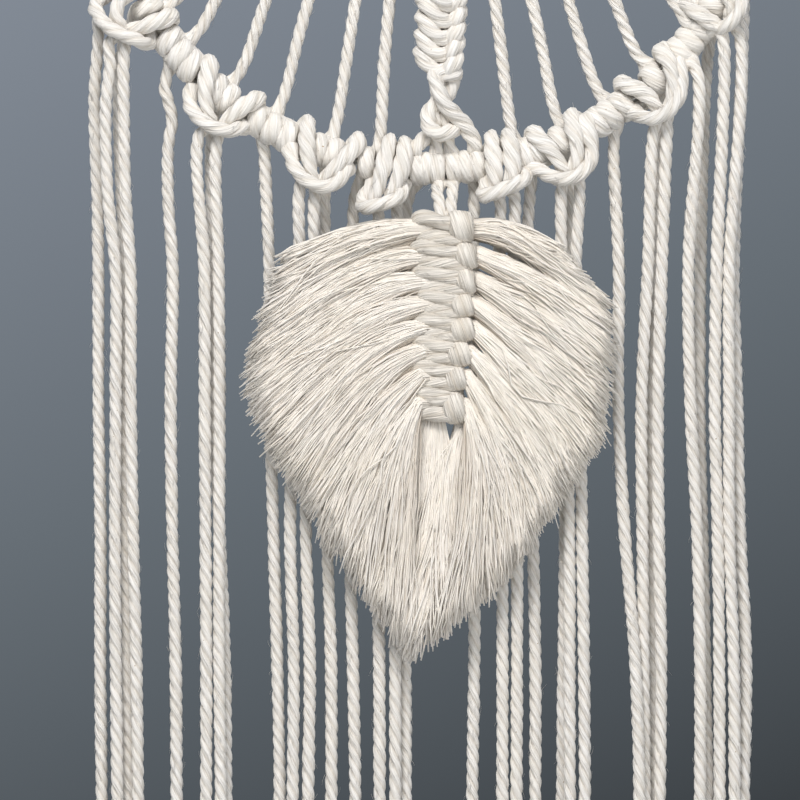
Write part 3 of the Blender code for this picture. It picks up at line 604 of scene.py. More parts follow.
# ------------------------------------------------------- fan cords with knots
seed = 100
for key, (sx, sy, arrive, turns) in FANS.items():
    seed += 1
    tail = key if key in TAILS else key + "m"
    leave, out0, y0 = TAILS[tail][:3]
    top = at(sx * 0.9, sy * 0.9, COLLAR_DROP - 8)
    slot = at(sx, sy, COLLAR_DROP + 1)
    over = key == "n"
    if over:
        near = ring_at(arrive, 10, 9.5)
        body = coil(turns, arrive - 0.6, 50.6, 5, 150, over=True)[1:]
    else:
        near = ring_at(arrive, -14, 9.5)
        last = math.degrees(math.atan2(-y0, -out0))
        last = last if last <= 0 else last - 360
        body = coil(turns, arrive, leave, -42, last)
    gen = np.random.default_rng(seed)
    run = near - slot
    bow = [slot + run * f + np.array([gen.normal() * 0.35, gen.normal() * 0.3, 0]) for f in (0.3, 0.62, 0.86)]
    ctrl = [top, slot] + bow + [near] + body
    k_fan = 5 + 2
    k_tail = len(ctrl) - 1
    ctrl += tail_ctrl(tail, ctrl[-1])
    made = lay(ctrl, [("fan_" + key, 0, k_fan), ("hitch_" + key, k_fan, k_tail), ("end_" + tail, k_tail, -1)], seed,
               spread=0.8 if key in "mo" else 0.62 if key in "bd" else 0.48)
    declared.append(("end_" + tail, made["end_" + tail], "hanging"))
    declared.append(("fan_" + key, made["fan_" + key], "taut"))

# -------------------------------------------------------------- folded cords
for key, (leg_l, bar, leg_r, a_l, a_r) in LOOPS.items():
    seed += 1
    left = [put(*q) for q in leg_l]
    right = [put(*q) for q in leg_r]
    mid = [put(*q) for q in bar]

    def angle_of(p):
        return math.degrees(math.atan2(p[0], HOOP_Z - p[2]))

    top_l, top_r = angle_of(left[-1]), angle_of(right[-1])
    back_l = [ring_at(top_l + (a_l - top_l) * f, ph, 3.9) for ph, f in ((-18, 0.1), (-58, 0.35), (-100, 0.6), (-140, 0.85), (-172, 1.0))]
    back_r = [ring_at(a_r + (top_r - a_r) * f, ph, 3.9) for ph, f in ((-172, 0.0), (-140, 0.15), (-100, 0.4), (-58, 0.65), (-18, 0.9))]
    t1 = tail_ctrl(key + "1", left[0])[::-1]
    t2 = tail_ctrl(key + "2", right[0])
    ctrl = t1 + left + back_l + mid + back_r + right[::-1] + t2
    k1 = len(t1)
    k2 = len(ctrl) - len(t2) - 1
    made = lay(ctrl, [("end_" + key + "1", 0, k1), ("loop_knot_" + key, k1, k2), ("end_" + key + "2", k2, -1)], seed,
               swell=[(k1, k2, 1.2)], spread=0.46)
    declared.append(("end_" + key + "1", made["end_" + key + "1"][::-1], "hanging"))
    declared.append(("end_" + key + "2", made["end_" + key + "2"], "hanging"))

# ------------------------------------------- knotted column inside the hoop
def column_axis(d):
    xs = np.interp(d, [-77, -60, -36, -12, 12, 38, 64, 74, 83], [0, 0.5, 1.6, 2.0, 2.6, 2.8, 2.8, 3.2, 3.2])
    ys = np.interp(d, [-77, -60, -36, -12, 12, 38, 64, 83], [-3.8, -7.2, -8.4, -7.8, -6.4, -4.0, -1.8, -1.2])
    return xs, ys


KNOT = 5.0               # height of one half knot
FIRST, LAST = -44.0, 70.0


def column_point(d, x, y, turn):
    cx, cy = column_axis(d)
    c, s = math.cos(turn), math.sin(turn)
    return at(cx + x * c - y * s, cy + x * s + y * c, d)


def half_knots(offset):
    """Route of one of the two working cords: out at the left, over the front, under
    the other at the right, over its end and back behind."""
    pts = []
    d = FIRST + offset * KNOT
    route = [(-3.7, 3.0, -2.4), (-5.0, 0.4, -2.0), (-5.3, -2.6, -0.8), (-4.0, -4.4, 1.2), (-2.1, -4.7, 3.2),
             (0.2, -4.4, 4.5), (2.3, -3.3, 4.5), (3.9, -1.3, 4.2), (5.2, -0.8, 4.6), (5.7, -2.4, 5.8),
             (5.2, -4.3, 7.4), (3.9, -4.5, 9.2), (3.3, -1.4, 10.4), (2.6, 2.6, 10.0), (0.0, 3.6, 8.9)]
    while d < LAST:
        for x, y, h in route:
            dd = d + h
            if dd < LAST + 3:
                pts.append(column_point(dd, x, y, math.radians(-1.8 * (dd - 61.8))))
        d += 2 * KNOT
    return pts


seed = 300
# the four cords: left and right working cords, two fillers
work_a = half_knots(0)
work_b = half_knots(1)
top_a = [at(-1.2, -2.6, -86), at(-1.6, -3.4, -76), at(-1.4, -6.4, -60)]
top_b = [at(1.4, -2.6, -86), at(1.8, -3.4, -76), at(2.4, -6.6, -60), at(4.6, -8.0, -48)]
# the last half knot, opened out over the hoop
end_a = [put(434, 74, -7.0), put(437.5, 86, -7.8), put(441, 96, -7.8), put(446.5, 106, -7.0), put(455, 114.5, -5.6),
         put(464, 124, -4.2), put(471, 135.5, -2.8), put(475, 144, -2.2)]
end_b = [put(452, 80, -3.4), put(449.5, 91, -3.8), put(440, 101, -3.6), put(430, 109.5, -4.4), put(427.5, 120.5, -5.4),
         put(431, 129.5, -6.2), put(439.5, 133.5, -6.4), put(449, 131.5, -5.4), put(454.5, 129, -2.6), put(452, 129.5, 0.6),
         put(442, 133.5, 1.6), put(429, 137, 0.8), put(420, 142, -1.0), put(415, 149, -2.2)]
body_l = coil([(-2.6, -2.0), (-0.35, -0.9)], -2.8, -1.6, -12, -129)
body_r = coil([(6.1, 6.3), (8.5, 8.5)], 8.3, 7.6, -12, -129)
ctrl = top_a + work_a + end_a + body_r
k1 = len(top_a) - 1
ks = len(top_a + work_a + end_a) + 1
kt = len(ctrl) - 1
ctrl += tail_ctrl("sr", ctrl[-1])
made = lay(ctrl, [("column_left_cord", 0, ks), ("hitch_centre_right", ks, kt), ("end_sr", kt, -1)], seed + 1, swell=[(k1, ks - 2, 1.34)], spread=0.3)
declared.append(("end_sr", made["end_sr"], "hanging"))
ctrl = top_b + work_b + end_b + body_l
k1 = len(top_b) - 1
ks = len(top_b + work_b + end_b) + 1
kt = len(ctrl) - 1
ctrl += tail_ctrl("sl", ctrl[-1])
made = lay(ctrl, [("column_right_cord", 0, ks), ("hitch_centre_left", ks, kt), ("end_sl", kt, -1)], seed + 2, swell=[(k1, ks - 2, 1.34)], spread=0.3)
declared.append(("end_sl", made["end_sl"], "hanging"))
# fillers, which go on into the two cords that carry the leaf
for n, (side, start_x, a_in, turns, out_a, hx) in enumerate((
        ("a", -0.6, 1.2, [(1.7, 1.2)], 2.0, (2.2, 3.0)),
        ("b", 0.8, 4.1, [(4.0, 4.3)], 3.7, (6.9, 6.4)))):
    fill = [at(start_x * 2, 2.0, -86), at(start_x * 2, 0.0, -76)]
    for d in range(-60, 72, 12):
        cx, cy = column_axis(d)
        fill.append(at(cx + start_x * 1.9, cy - 1.0 + 0.4 * (1 if n else -1), d))
    fill += [at(1.9 + n * 2.5, -3.2, 79), at(2.0 + n * 3.0, -3.2, 86), at(2.3 + n * 3.4, -1.2, 91)]
    body = coil(turns, a_in, out_a, -12, -150)
    ctrl = fill + body
    ks = len(fill) + 1
    kt = len(ctrl) - 1
    ctrl += [at(hx[0], -5.4, 107.2), at(hx[1], -9.6, 111.6), at(hx[1] - 0.2, -12.2, 116.0), at(hx[1] - 0.4, -12.4, 121.0)]
    lay(ctrl, [("column_filler_" + side, 0, ks), ("leaf_carrier_" + side, ks, -1)], seed + 5 + n, spread=0.3)

# ------------------------------------------------------------------- collar
wind = []
for i in range(0, 3 * 24 + 1):
    t = 2 * math.pi * i / 24
    wind.append(at(11.5 * math.sin(t), -11.5 * math.cos(t), COLLAR_DROP - 2.0 - i * (COLLAR_H - 4.0) / 72))
lay(wind, [("collar_winding", 0, -1)], 401)

# --------------------------------------------- folded cords over the hoop's top
for k in range(9):
    x = (k - 4) * 4.15
    spread = (k - 4) / 4
    f0 = at(spread * 7.6, -5.6 + 2.4 * abs(spread), -80.0)
    route = [f0, at(spread * 8.6, -6.2 + 2.0 * abs(spread), -88.0), at(spread * 13.4, -5.0, -94.0), ]
    lift = HOOP_R * math.cos(math.asin(min(0.99, abs(x) / HOOP_R)))
    route += [at(x, -3.7, -lift), at(x * 1.01, -2.2, -lift - 3.0), at(x * 1.01, 0, -lift - 3.9), at(x * 1.01, 2.2, -lift - 3.0),
              at(x, 3.7, -lift), at(spread * 13.4, 5.0, -94.0), at(spread * 8.6, 6.2 - 2.0 * abs(spread), -88.0),
              at(spread * 7.6, 5.6 - 2.4 * abs(spread), -80.0)]
    lay(route, [("saddle_cords", 0, -1)], 410 + k)

# -------------------------------------------------------------- hanging cord
foot = HOOP_R * math.sin(math.radians(13.8))
bow = [at(-foot * 0.62, 0, -(HOOP_R + 24.0)), at(-5.6, 0, -(HOOP_R + 41.5)), at(0, 0, -(HOOP_R + LOOP_RISE + CORD_R)),
       at(5.6, 0, -(HOOP_R + 41.5)), at(foot * 0.62, 0, -(HOOP_R + 24.0))]
left_wrap = [ring_at(180 + 13.8 + a, ph, 3.6) for ph, a in
             ((-150, -2.0), (-90, -1.7), (-30, -1.3), (30, -1.0), (90, -0.8), (150, -0.6), (210, -0.2), (270, 0.3), (330, 0.7), (390, 1.0), (450, 1.2), (510, 0.8))]
right_wrap = [ring_at(180 - 13.8 - a, ph, 3.6) for ph, a in
              ((510, 0.8), (450, 1.2), (390, 1.0), (330, 0.7), (270, 0.3), (210, -0.2), (150, -0.6), (90, -0.8), (30, -1.0), (-30, -1.3), (-90, -1.7), (-150, -2.0))]
lay(left_wrap + bow + right_wrap, [("hanging_cord", 0, -1)], 430)


# ---------------------------------------------------------------------- leaf
# One row for each knot of the midrib, in (u, v):
#   strand: left end of the two strands, and the heights of their middles
#   wrap: left and right edge, top and bottom of the bundle that ties the row
#   tuft: where the combed bundle comes out on the left, and on the right
MIDRIB = [
    ((412, 221, 238), (450, 472, 211, 242), (427, 229), (474, 229)),
    ((410, 250, 263), (456, 476, 242, 269), (425, 256), (478, 256)),
    ((411, 275, 288), (457, 475, 268, 294), (427, 281), (477, 281)),
    ((414, 298, 311), (453, 472, 293, 318), (427, 304), (473, 305)),
    ((411, 322, 334), (452, 473, 317, 342), (424, 328), (474, 330)),
    ((409, 345, 357), (449, 470, 341, 367), (423, 351), (471, 354)),
    ((405, 369, 382), (447, 466, 366, 391), (421, 375), (468, 379)),
    ((405, 396, 413), (444, 465, 391, 424), (418, 404), (467, 408)),
]
# Combed locks: where each starts, which way it bends, where it is trimmed, as in
# the CAD. The last row of each side is the bottom of the leaf.
LEFT_LOCKS = [
    (-6.6, 116.0, -24.0, 110.6, -47.5, 129.5), (-6.9, 123.0, -28.0, 119.0, -51.5, 143.0),
    (-7.0, 131.0, -32.0, 129.0, -54.6, 155.5), (-6.8, 139.0, -33.0, 140.0, -56.2, 166.0),
    (-7.8, 147.0, -34.0, 152.0, -53.6, 176.0), (-8.2, 155.0, -33.0, 164.0, -45.8, 191.0),
    (-9.8, 163.0, -27.0, 178.0, -35.5, 207.0), (-9.4, 171.0, -19.0, 192.0, -21.0, 229.0),
    (3.2, 182.6, 0.0, 206.0, -5.0, 249.5),
]
RIGHT_LOCKS = [
    (14.4, 116.5, 28.0, 113.5, 42.0, 128.0), (15.6, 124.0, 35.0, 126.0, 54.4, 142.0),
    (15.4, 132.0, 37.0, 138.0, 55.2, 151.5), (14.6, 140.0, 39.0, 151.0, 55.0, 165.0),
    (14.2, 148.0, 38.0, 166.0, 52.5, 184.0), (13.4, 156.0, 34.0, 181.0, 44.6, 195.0),
    (12.6, 164.0, 28.0, 192.0, 35.5, 208.0), (12.2, 172.0, 20.0, 203.0, 21.5, 227.0),
    (5.6, 182.6, 2.2, 206.0, -3.4, 249.0),
]
# For each bundle: the rows of the tables above between which it meets the trimmed
# outline, and the slopes, in degrees below level, with which its upper and lower
# yarns leave the midrib. The last one is the bottom of the leaf.
LEFT_FANS = [
    (-0.12, 1.50, -8, 8), (1.40, 2.45, -6, 12), (2.35, 3.45, -4, 14), (3.35, 4.25, -2, 16), (4.15, 5.05, 2, 22),
    (4.95, 5.85, 8, 34), (5.70, 6.65, 18, 58), (6.40, 7.85, 36, 88), (7.10, 8.00, 0, 0),
]
RIGHT_FANS = [
    (-0.10, 1.65, -8, 10), (1.50, 2.60, 16, 30), (2.50, 3.45, 26, 38), (3.35, 4.25, 31, 44), (4.15, 5.05, 36, 50),
    (4.95, 5.90, 41, 58), (5.75, 6.75, 48, 70), (6.50, 7.75, 57, 86), (7.10, 8.00, 0, 0),
]


def strand(batch, ctrl, radius, seed, flatten=0.8, wide=1.0, pitch=34.0, way=(0.0, -1.0, 0.0)):
    """A thick, barely twisted bundle of the midrib."""
    gen = np.random.default_rng(seed)
    line, _ = curve_through(ctrl)
    p, s, _ = spaced(line, 1.0)
    n = len(p)
    _, nx, ny = (x[0] for x in frames(p[None]))
    phase = gen.uniform(0, 6.28) - 2 * math.pi * s / pitch
    w = np.tile(np.array(way, float), (n, 1)) if not callable(way) else way(p)
    fat = radius * (1 + 0.03 * np.clip(rolling(n, 5, 1.0, gen), -2, 2))
    sweep_part(batch, p, s, slice(0, n), fat, phase, gen.uniform(0, 1), (w, np.full(n, flatten), np.full(n, wide)),
               gen.uniform(0, 50), nx, ny, np.full(n, 0.8))
    fuzz(batch, p, nx, ny, fat * flatten, gen, 1.6)


midrib = batch_of("leaf_midrib_knots")
for k, ((u0, v1, v2), (wl, wr, wt, wb), tuft_l, tuft_r) in enumerate(MIDRIB):
    vm = (v1 + v2) / 2
    inside = wl + 8
    r = 2.55 if k < 7 else 2.75
    upper = [put(inside + 6, v1 + 5, -13.4), put(inside - 3, v1 + 3.5, -14.9), put((inside + u0) / 2 + 7, v1 + 1, -15.6),
             put(u0 + 19, v1 - 2.5, -15.6), put(u0 + 11, v1 - 3.5, -14.6), put(u0 + 6, v1 - 1.0, -12.4)]
    turn = [put(u0 + 7, vm, -10.4)]
    lower = [put(u0 + 9, v2 - 1, -12.2), put(u0 + 13.5, v2 - 0.6, -14.2), put(u0 + 22, v2 - 0.8, -15.0),
             put((inside + u0) / 2 + 9, v2 + 0.4, -15.1), put(inside - 3, v2 + 1.6, -14.7), put(inside + 6, v2 + 1, -13.2)]
    strand(midrib, upper + turn + lower, r, 600 + k)
    # the bundle that wraps the row's right ends, from behind over the front
    um, half, tall = (wl + wr) / 2, (wr - wl) / 2 * SCALE, wb - wt
    lean = -1.5
    hoop_pts = []
    for a in np.linspace(-62, 242, 13):
        c, sn = math.cos(math.radians(a)), math.sin(math.radians(a))
        hoop_pts.append(put(um + lean * c, (wt + wb) / 2 - c * (tall / 2 - 4.6), -13.2 - 3.6 * sn))
    mid_p = put(um, (wt + wb) / 2, -13.2)

    def outward(p, mid_p=mid_p):
        w = (p - mid_p) * np.array([0, 1, 1])
        return w / np.maximum(np.linalg.norm(w, axis=1, keepdims=True), 1e-6)

    strand(midrib, hoop_pts, half * 1.12, 620 + k, flatten=0.50, wide=1.04, pitch=60.0, way=outward)

# the spine's own cords, seen between the rows and below the last one
for j, (x0, x1) in enumerate(((2.6, 1.0), (5.4, 3.4), (7.8, 6.8))):
    strand(midrib, [at(x0, -12.2, 114.5), at(x0 + 0.6, -12.6, 130), at(x0 + 0.4, -12.6, 150), at(x1 + 1.6, -12.6, 168),
                    at(x1 + 1.6, -12.0, 175.5)], 2.0, 640 + j)


def combed(batch, locks, side, gen, per_row, foot):
    """Combed yarn from every row of the midrib to the trimmed outline, over the
    thicker locks that fill the leaf behind it."""
    table = np.array(LEFT_LOCKS if side < 0 else RIGHT_LOCKS)
    last_row = len(table) - 1
    fans = LEFT_FANS if side < 0 else RIGHT_FANS
    STEPS = 11
    f = np.linspace(0, 1, STEPS)

    def trim_of(t):
        lo = np.clip(np.floor(t).astype(int), 0, last_row - 1)
        w = (t - lo)[..., None]
        return table[lo, 4:6] * (1 - w) + table[lo + 1, 4:6] * w

    def route(a, tip, slope, fall, reach):
        """Cubic line from a to tip that leaves with a slope below level and comes
        in fall steeper than the straight line; places are (x, drop)."""
        way = tip - a
        dist = np.linalg.norm(way, axis=1)
        ang = np.arctan2(way[:, 1], side * way[:, 0])
        leave = np.minimum(slope, ang + 0.1)
        p1 = a + (0.33 * dist)[:, None] * np.stack([side * np.cos(leave), np.sin(leave)], 1)
        p2 = tip - (0.38 * dist)[:, None] * np.stack([side * np.cos(ang + fall), np.sin(ang + fall)], 1)
        g = f[None, :, None] * reach[:, None, None]
        return ((1 - g) ** 3 * a[:, None] + 3 * g * (1 - g) ** 2 * p1[:, None]
                + 3 * g * g * (1 - g) * p2[:, None] + g ** 3 * tip[:, None])

    lines, tones, thick, lock_lines, lock_r, lock_tone, crease_shade = [], [], [], [], [], [], []
    tufts = 18
    for k in range(len(MIDRIB) + 1):
        bottom = k == len(MIDRIB)
        per = (foot if bottom else per_row) // tufts
        for c in range(tufts):
            lean = ((c + 0.5) / tufts - 0.5) * 2
            lo, hi, slope_up, slope_down = fans[k]
            t_mid = lo + (hi - lo) * (0.5 + 0.56 * lean)
            if bottom:
                centre = put(465 if side > 0 else 432, 416, -13.2)
                spread_x, spread_d, r = (1.9 if side > 0 else 3.2), 0.0, 1.2
                slope, fall = None, math.radians(-3 * lean)
            else:
                tuft = MIDRIB[k][2 if side < 0 else 3]
                centre = put(*tuft, -14.6 if side < 0 else -13.6)
                spread_x, spread_d, r = 0.0, (2.5 if side < 0 else 2.7), 2.2
                keep = 0.22 if k < 7 else 0.5              # how much a bundle spreads at once
                slope = math.radians((slope_up + slope_down) / 2 + (slope_down - slope_up) * keep * lean)
                fall = math.radians(9 if k < 7 else 7 - 7 * lean)
            t_mid = max(-0.12, t_mid + gen.normal(0, 0.05))
            t = np.clip(t_mid + gen.normal(0, 0.09, per), -0.15, last_row)
            th = gen.uniform(0, 6.28, per)
            rr = np.sqrt(gen.uniform(0, 1, per)) * r
            a = np.stack([centre[0] + side * spread_x * -lean * 1.0 + gen.normal(0, 0.5, per),
                          (HOOP_Z - centre[2]) + lean * spread_d + np.sin(th) * rr * 0.2], 1)
            dome = math.sqrt(1 - 0.92 * lean * lean)      # the bundle's round front
            y0 = centre[1] + 1.5 - (3.6 if not bottom else 1.2) * dome * gen.uniform(0.35, 1.0, per)
            tip = trim_of(t) + gen.normal(0, 0.85, 2) + gen.normal(0, 0.5, (per, 2))
            wild = gen.uniform(size=per) < 0.025
            tip = np.where(wild[:, None], tip + gen.normal(0, 2.4, (per, 2)), tip)
            reach = (0.965 if bottom else 0.962) + gen.normal(0, 0.011) + gen.normal(0, 0.011, per)
            if bottom:
                way = tip - a
                slope_y = np.arctan2(way[:, 1], side * way[:, 0]) + math.radians(4 + 5 * lean) + gen.normal(0, 0.05, per)
            else:
                slope_y = slope + gen.normal(0, 0.04) + gen.normal(0, 0.05, per)
            fall_y = fall + gen.normal(0, 0.03) + gen.normal(0, 0.04, per)
            flat = route(a, tip, slope_y, fall_y, reach)
            layer = gen.normal(0, 0.8)
            depth_tip = LEAF_DEPTH - 0.2 + layer + gen.normal(0, 0.5, per)
            crest = -(1.7 if not bottom else 0.6) * np.sin(np.pi * np.clip(f * 1.2, 0, 1))[None, :]
            own_y = np.clip(1 - f[None, :] * 1.05, 0, 1) ** 0.85
            ahead = 0.0 if bottom else 0.5 * (k - 3.5)
            depth = y0[:, None] * own_y + depth_tip[:, None] * (1 - own_y) + crest - ahead * own_y
            # waves left by the twist, and slow bends shared by a tuft
            length = np.linalg.norm(np.diff(flat, axis=1), axis=2).sum(1)
            arc = f[None, :] * length[:, None]
            along = np.gradient(flat, axis=1)
            along /= np.maximum(np.linalg.norm(along, axis=2, keepdims=True), 1e-6)
            cross = np.stack([-along[..., 1], along[..., 0]], 2)
            wave_len = gen.uniform(11, 19, per)[:, None]
            amp = gen.uniform(0.10, 0.36, per)[:, None] * np.clip(f * 4, 0, 1)[None, :]
            ph = gen.uniform(0, 6.28, per)[:, None]
            slow = gen.normal(0, 0.45) * np.sin(math.pi * f * gen.uniform(1.4, 2.6) + gen.uniform(0, 6.28)) * np.clip(f * 3, 0, 1)
            own = (gen.normal(0, 0.5, per)[:, None] * np.where(wild, 3.0, 1.0)[:, None]
                   * np.sin(math.pi * f[None, :] * gen.uniform(1.0, 3.0, per)[:, None] + gen.uniform(0, 6.28, per)[:, None])
                   * np.clip(f * 3, 0, 1)[None, :])
            shake = amp * np.sin(2 * math.pi * arc / wave_len + ph) + slow[None, :] + own
            flat = flat + cross * shake[..., None]
            if bottom:           # the two halves close below the midrib
                inward = np.maximum(0, 2.2 + 2.0 * lean + gen.normal(0, 1.0, per))
                flat[..., 0] -= side * inward[:, None] * np.sin(np.pi * f[None, :] ** 0.85)
                cleft = 6.4 + side * 1.7 * np.clip((184.0 - flat[..., 1]) / 4.5, 0, 1)
                shut = flat[..., 1] < 184.0
                flat[..., 0] = np.where(shut, side * np.maximum(side * flat[..., 0], side * cleft), flat[..., 0])
            depth = depth + amp * np.cos(2 * math.pi * arc / wave_len + ph) * 0.8 - np.where(wild, 1.0, 0.0)[:, None] * np.sin(np.pi * f)[None, :]
            flat[:, -1] += gen.normal(0, 0.45, (per, 2))
            depth[:, -1] += gen.normal(0, 0.4, per)
            start = np.stack([a[:, 0] - side * 5.0, y0 + 2.4, a[:, 1] + (0 if not bottom else -4.0)], 1)
            if bottom:
                start[:, 0] = a[:, 0]
            x = np.concatenate([start[:, 0:1], flat[..., 0]], 1)
            d = np.concatenate([start[:, 2:3], flat[..., 1]], 1)
            y = np.minimum(np.concatenate([start[:, 1:2], depth], 1), -9.0)
            lines.append(np.stack([x, y, HOOP_Z - d], 2))
            # painted shade along the lower edge of each bundle, and a little along the upper edge, where the bundles
            # meet
            shade = 0.0 if bottom else 1.2 * max(0.0, lean - 0.35) / 0.6 + 0.6 * max(0.0, -lean - 0.8) / 0.2
            crease_shade.append(np.broadcast_to(shade * np.clip(1 - np.arange(STEPS + 1) / 7.5, 0, 1)[None, :], (per, STEPS + 1)))
            tones.append(np.clip(gen.uniform(0.15, 0.85) * (0.5 if bottom else 1.0) + gen.normal(0, 0.16, per), 0, 1))
            thick.append(gen.uniform(0.26, 0.38, per) if bottom else gen.uniform(0.22, 0.33, per))
            # the lock behind the yarns
            la = np.array([[centre[0] - side * spread_x * lean, (HOOP_Z - centre[2]) + lean * spread_d]])
            lt = trim_of(np.array([min(max(t_mid, -0.05), last_row - 0.02)]))
            lf = route(la, lt, np.array([np.median(slope_y)]), np.array([fall]), np.array([0.90]))[0]
            ly = (centre[1] + 1.6 - ahead) * own_y[0] + (LEAF_DEPTH + 0.9 + 0.4 * layer) * (1 - own_y[0]) + crest[0] * 0.6
            lock_lines.append(np.stack([lf[:, 0], ly, HOOP_Z - lf[:, 1]], 1))
            lock_r.append(np.interp(f, [0, 0.12, 0.45, 0.85, 1.0], [0.9, 1.1, 2.0, 2.3, 0.8]) * gen.uniform(0.85, 1.1))
            lock_tone.append(gen.uniform(0.2, 0.9))
    p = np.concatenate(lines)
    radius = np.concatenate(thick)[:, None] * np.concatenate([np.full(STEPS, 1.0), [0.75]])[None, :]
    # painted shade on the yarns that lie further back, plus the painted shade at the bundles' edges
    shade_weight = np.clip((p[..., 1] + 13.0) / 4.0, 0, 1) * 0.35 + np.concatenate(crease_shade)
    add_many(batch, p, radius, 3, np.concatenate(tones), gen, shade_weight)
    q = np.stack(lock_lines)
    # the locks behind the yarns get an even painted shade
    add_many(locks, q, np.stack(lock_r), 6, np.array(lock_tone), gen, np.full(q.shape[:2], 0.25), thin=0.42)


combed(batch_of("leaf_yarns_left"), batch_of("leaf_locks_left"), -1, np.random.default_rng(71), 306, 288)
combed(batch_of("leaf_yarns_right"), batch_of("leaf_locks_right"), 1, np.random.default_rng(72), 306, 288)


# ------------------------------------------------------------------ materials
def cotton(name, base, groove_shade_colour, sheen, fibres, streak, bump_size, freckle, dim=0.74):
    """Spun cotton: fibre lines along each strand, with painted shade of a warm darker colour in the grooves and
    creases.
    """
    m = bpy.data.materials.new(name)
    m.use_nodes = True
    nt = m.node_tree
    nodes, links = nt.nodes, nt.links
    bsdf = nodes["Principled BSDF"]
    uv = nodes.new("ShaderNodeUVMap")
    uv.uv_map = "strand"
    split = nodes.new("ShaderNodeSeparateXYZ")
    links.new(uv.outputs["UV"], split.inputs["Vector"])

    def math_node(op, a, b):
        n = nodes.new("ShaderNodeMath")
        n.operation = op
        for k, v in enumerate((a, b)):
            if isinstance(v, (int, float)):
                n.inputs[k].default_value = v
            else:
                links.new(v, n.inputs[k])
        return n.outputs[0]

    tone = nodes.new("ShaderNodeAttribute")
    tone.attribute_name = "tone"
    painted_shade = nodes.new("ShaderNodeAttribute")
    painted_shade.attribute_name = "painted_shade"
    lean = math_node("MULTIPLY", split.outputs["X"], -streak)
    around = math_node("ADD", split.outputs["Y"], lean)
    vec = nodes.new("ShaderNodeCombineXYZ")
    links.new(math_node("MULTIPLY", split.outputs["X"], 0.11), vec.inputs["X"])
    links.new(math_node("MULTIPLY", around, fibres), vec.inputs["Y"])
    links.new(math_node("MULTIPLY", tone.outputs["Fac"], 31.0), vec.inputs["Z"])
    fine = nodes.new("ShaderNodeTexNoise")
    fine.inputs["Scale"].default_value = 1.0
    fine.inputs["Detail"].default_value = 2.0
    fine.inputs["Roughness"].default_value = 0.55
    links.new(vec.outputs["Vector"], fine.inputs["Vector"])
    # slow changes of colour over the piece
    where = nodes.new("ShaderNodeTexCoord")
    cloud = nodes.new("ShaderNodeTexNoise")
    cloud.inputs["Scale"].default_value = 55.0
    cloud.inputs["Detail"].default_value = 3.0
    links.new(where.outputs["Object"], cloud.inputs["Vector"])
    speck = nodes.new("ShaderNodeTexNoise")
    speck.inputs["Scale"].default_value = 900.0
    speck.inputs["Detail"].default_value = 1.0
    links.new(where.outputs["Object"], speck.inputs["Vector"])

    def mix(fac, a, b, blend="MIX"):
        n = nodes.new("ShaderNodeMix")
        n.data_type = "RGBA"
        n.blend_type = blend
        for k, v in ((0, fac), (6, a), (7, b)):
            if isinstance(v, (int, float)):
                n.inputs[k].default_value = v
            elif isinstance(v, tuple):
                n.inputs[k].default_value = v
            else:
                links.new(v, n.inputs[k])
        return n.outputs[2]

    def ramp(value, lo, hi, a=0.0, b=1.0):
        n = nodes.new("ShaderNodeMapRange")
        for k, v in zip((1, 2, 3, 4), (lo, hi, a, b)):
            n.inputs[k].default_value = v
        links.new(value, n.inputs[0])
        return n.outputs[0]

    light = tuple(min(1.0, c * 1.05) for c in base) + (1.0,)
    dark = tuple(c * dim * w for c, w in zip(base, (1.0, 0.98, 0.94))) + (1.0,)
    colour = mix(ramp(fine.outputs["Fac"], 0.36, 0.58), dark, light)
    colour = mix(ramp(cloud.outputs["Fac"], 0.35, 0.7, 0.0, 0.55), colour, tuple(c * w for c, w in zip(base, (0.97, 0.95, 0.90))) + (1.0,))
    colour = mix(ramp(tone.outputs["Fac"], 0.0, 1.0, 0.0, 0.35), colour, tuple(min(1, c * w) for c, w in zip(base, (1.0, 0.985, 0.95))) + (1.0,))
    # painted shade: each point is mixed towards the warm dark shade colour by its painted shade amount
    shade_weight = math_node("MULTIPLY", painted_shade.outputs["Fac"], 0.62)
    colour = mix(shade_weight, colour, tuple(groove_shade_colour) + (1.0,))
    colour = mix(ramp(speck.outputs["Fac"], freckle, freckle + 0.03), colour, (0.42, 0.33, 0.22, 1.0))
    links.new(colour, bsdf.inputs["Base Color"])
    rough = ramp(fine.outputs["Fac"], 0.2, 0.8, 0.92, 0.78)
    links.new(rough, bsdf.inputs["Roughness"])
    bsdf.inputs["Specular IOR Level"].default_value = 0.25
    bsdf.inputs["Sheen Weight"].default_value = sheen
    bsdf.inputs["Sheen Roughness"].default_value = 0.5
    bsdf.inputs["Sheen Tint"].default_value = (1.0, 0.98, 0.94, 1.0)
    bsdf.inputs["Subsurface Weight"].default_value = 0.0
    bump = nodes.new("ShaderNodeBump")
    bump.inputs["Strength"].default_value = 1.0
    bump.inputs["Distance"].default_value = bump_size
    links.new(fine.outputs["Fac"], bump.inputs["Height"])
    links.new(bump.outputs["Normal"], bsdf.inputs["Normal"])
    return m


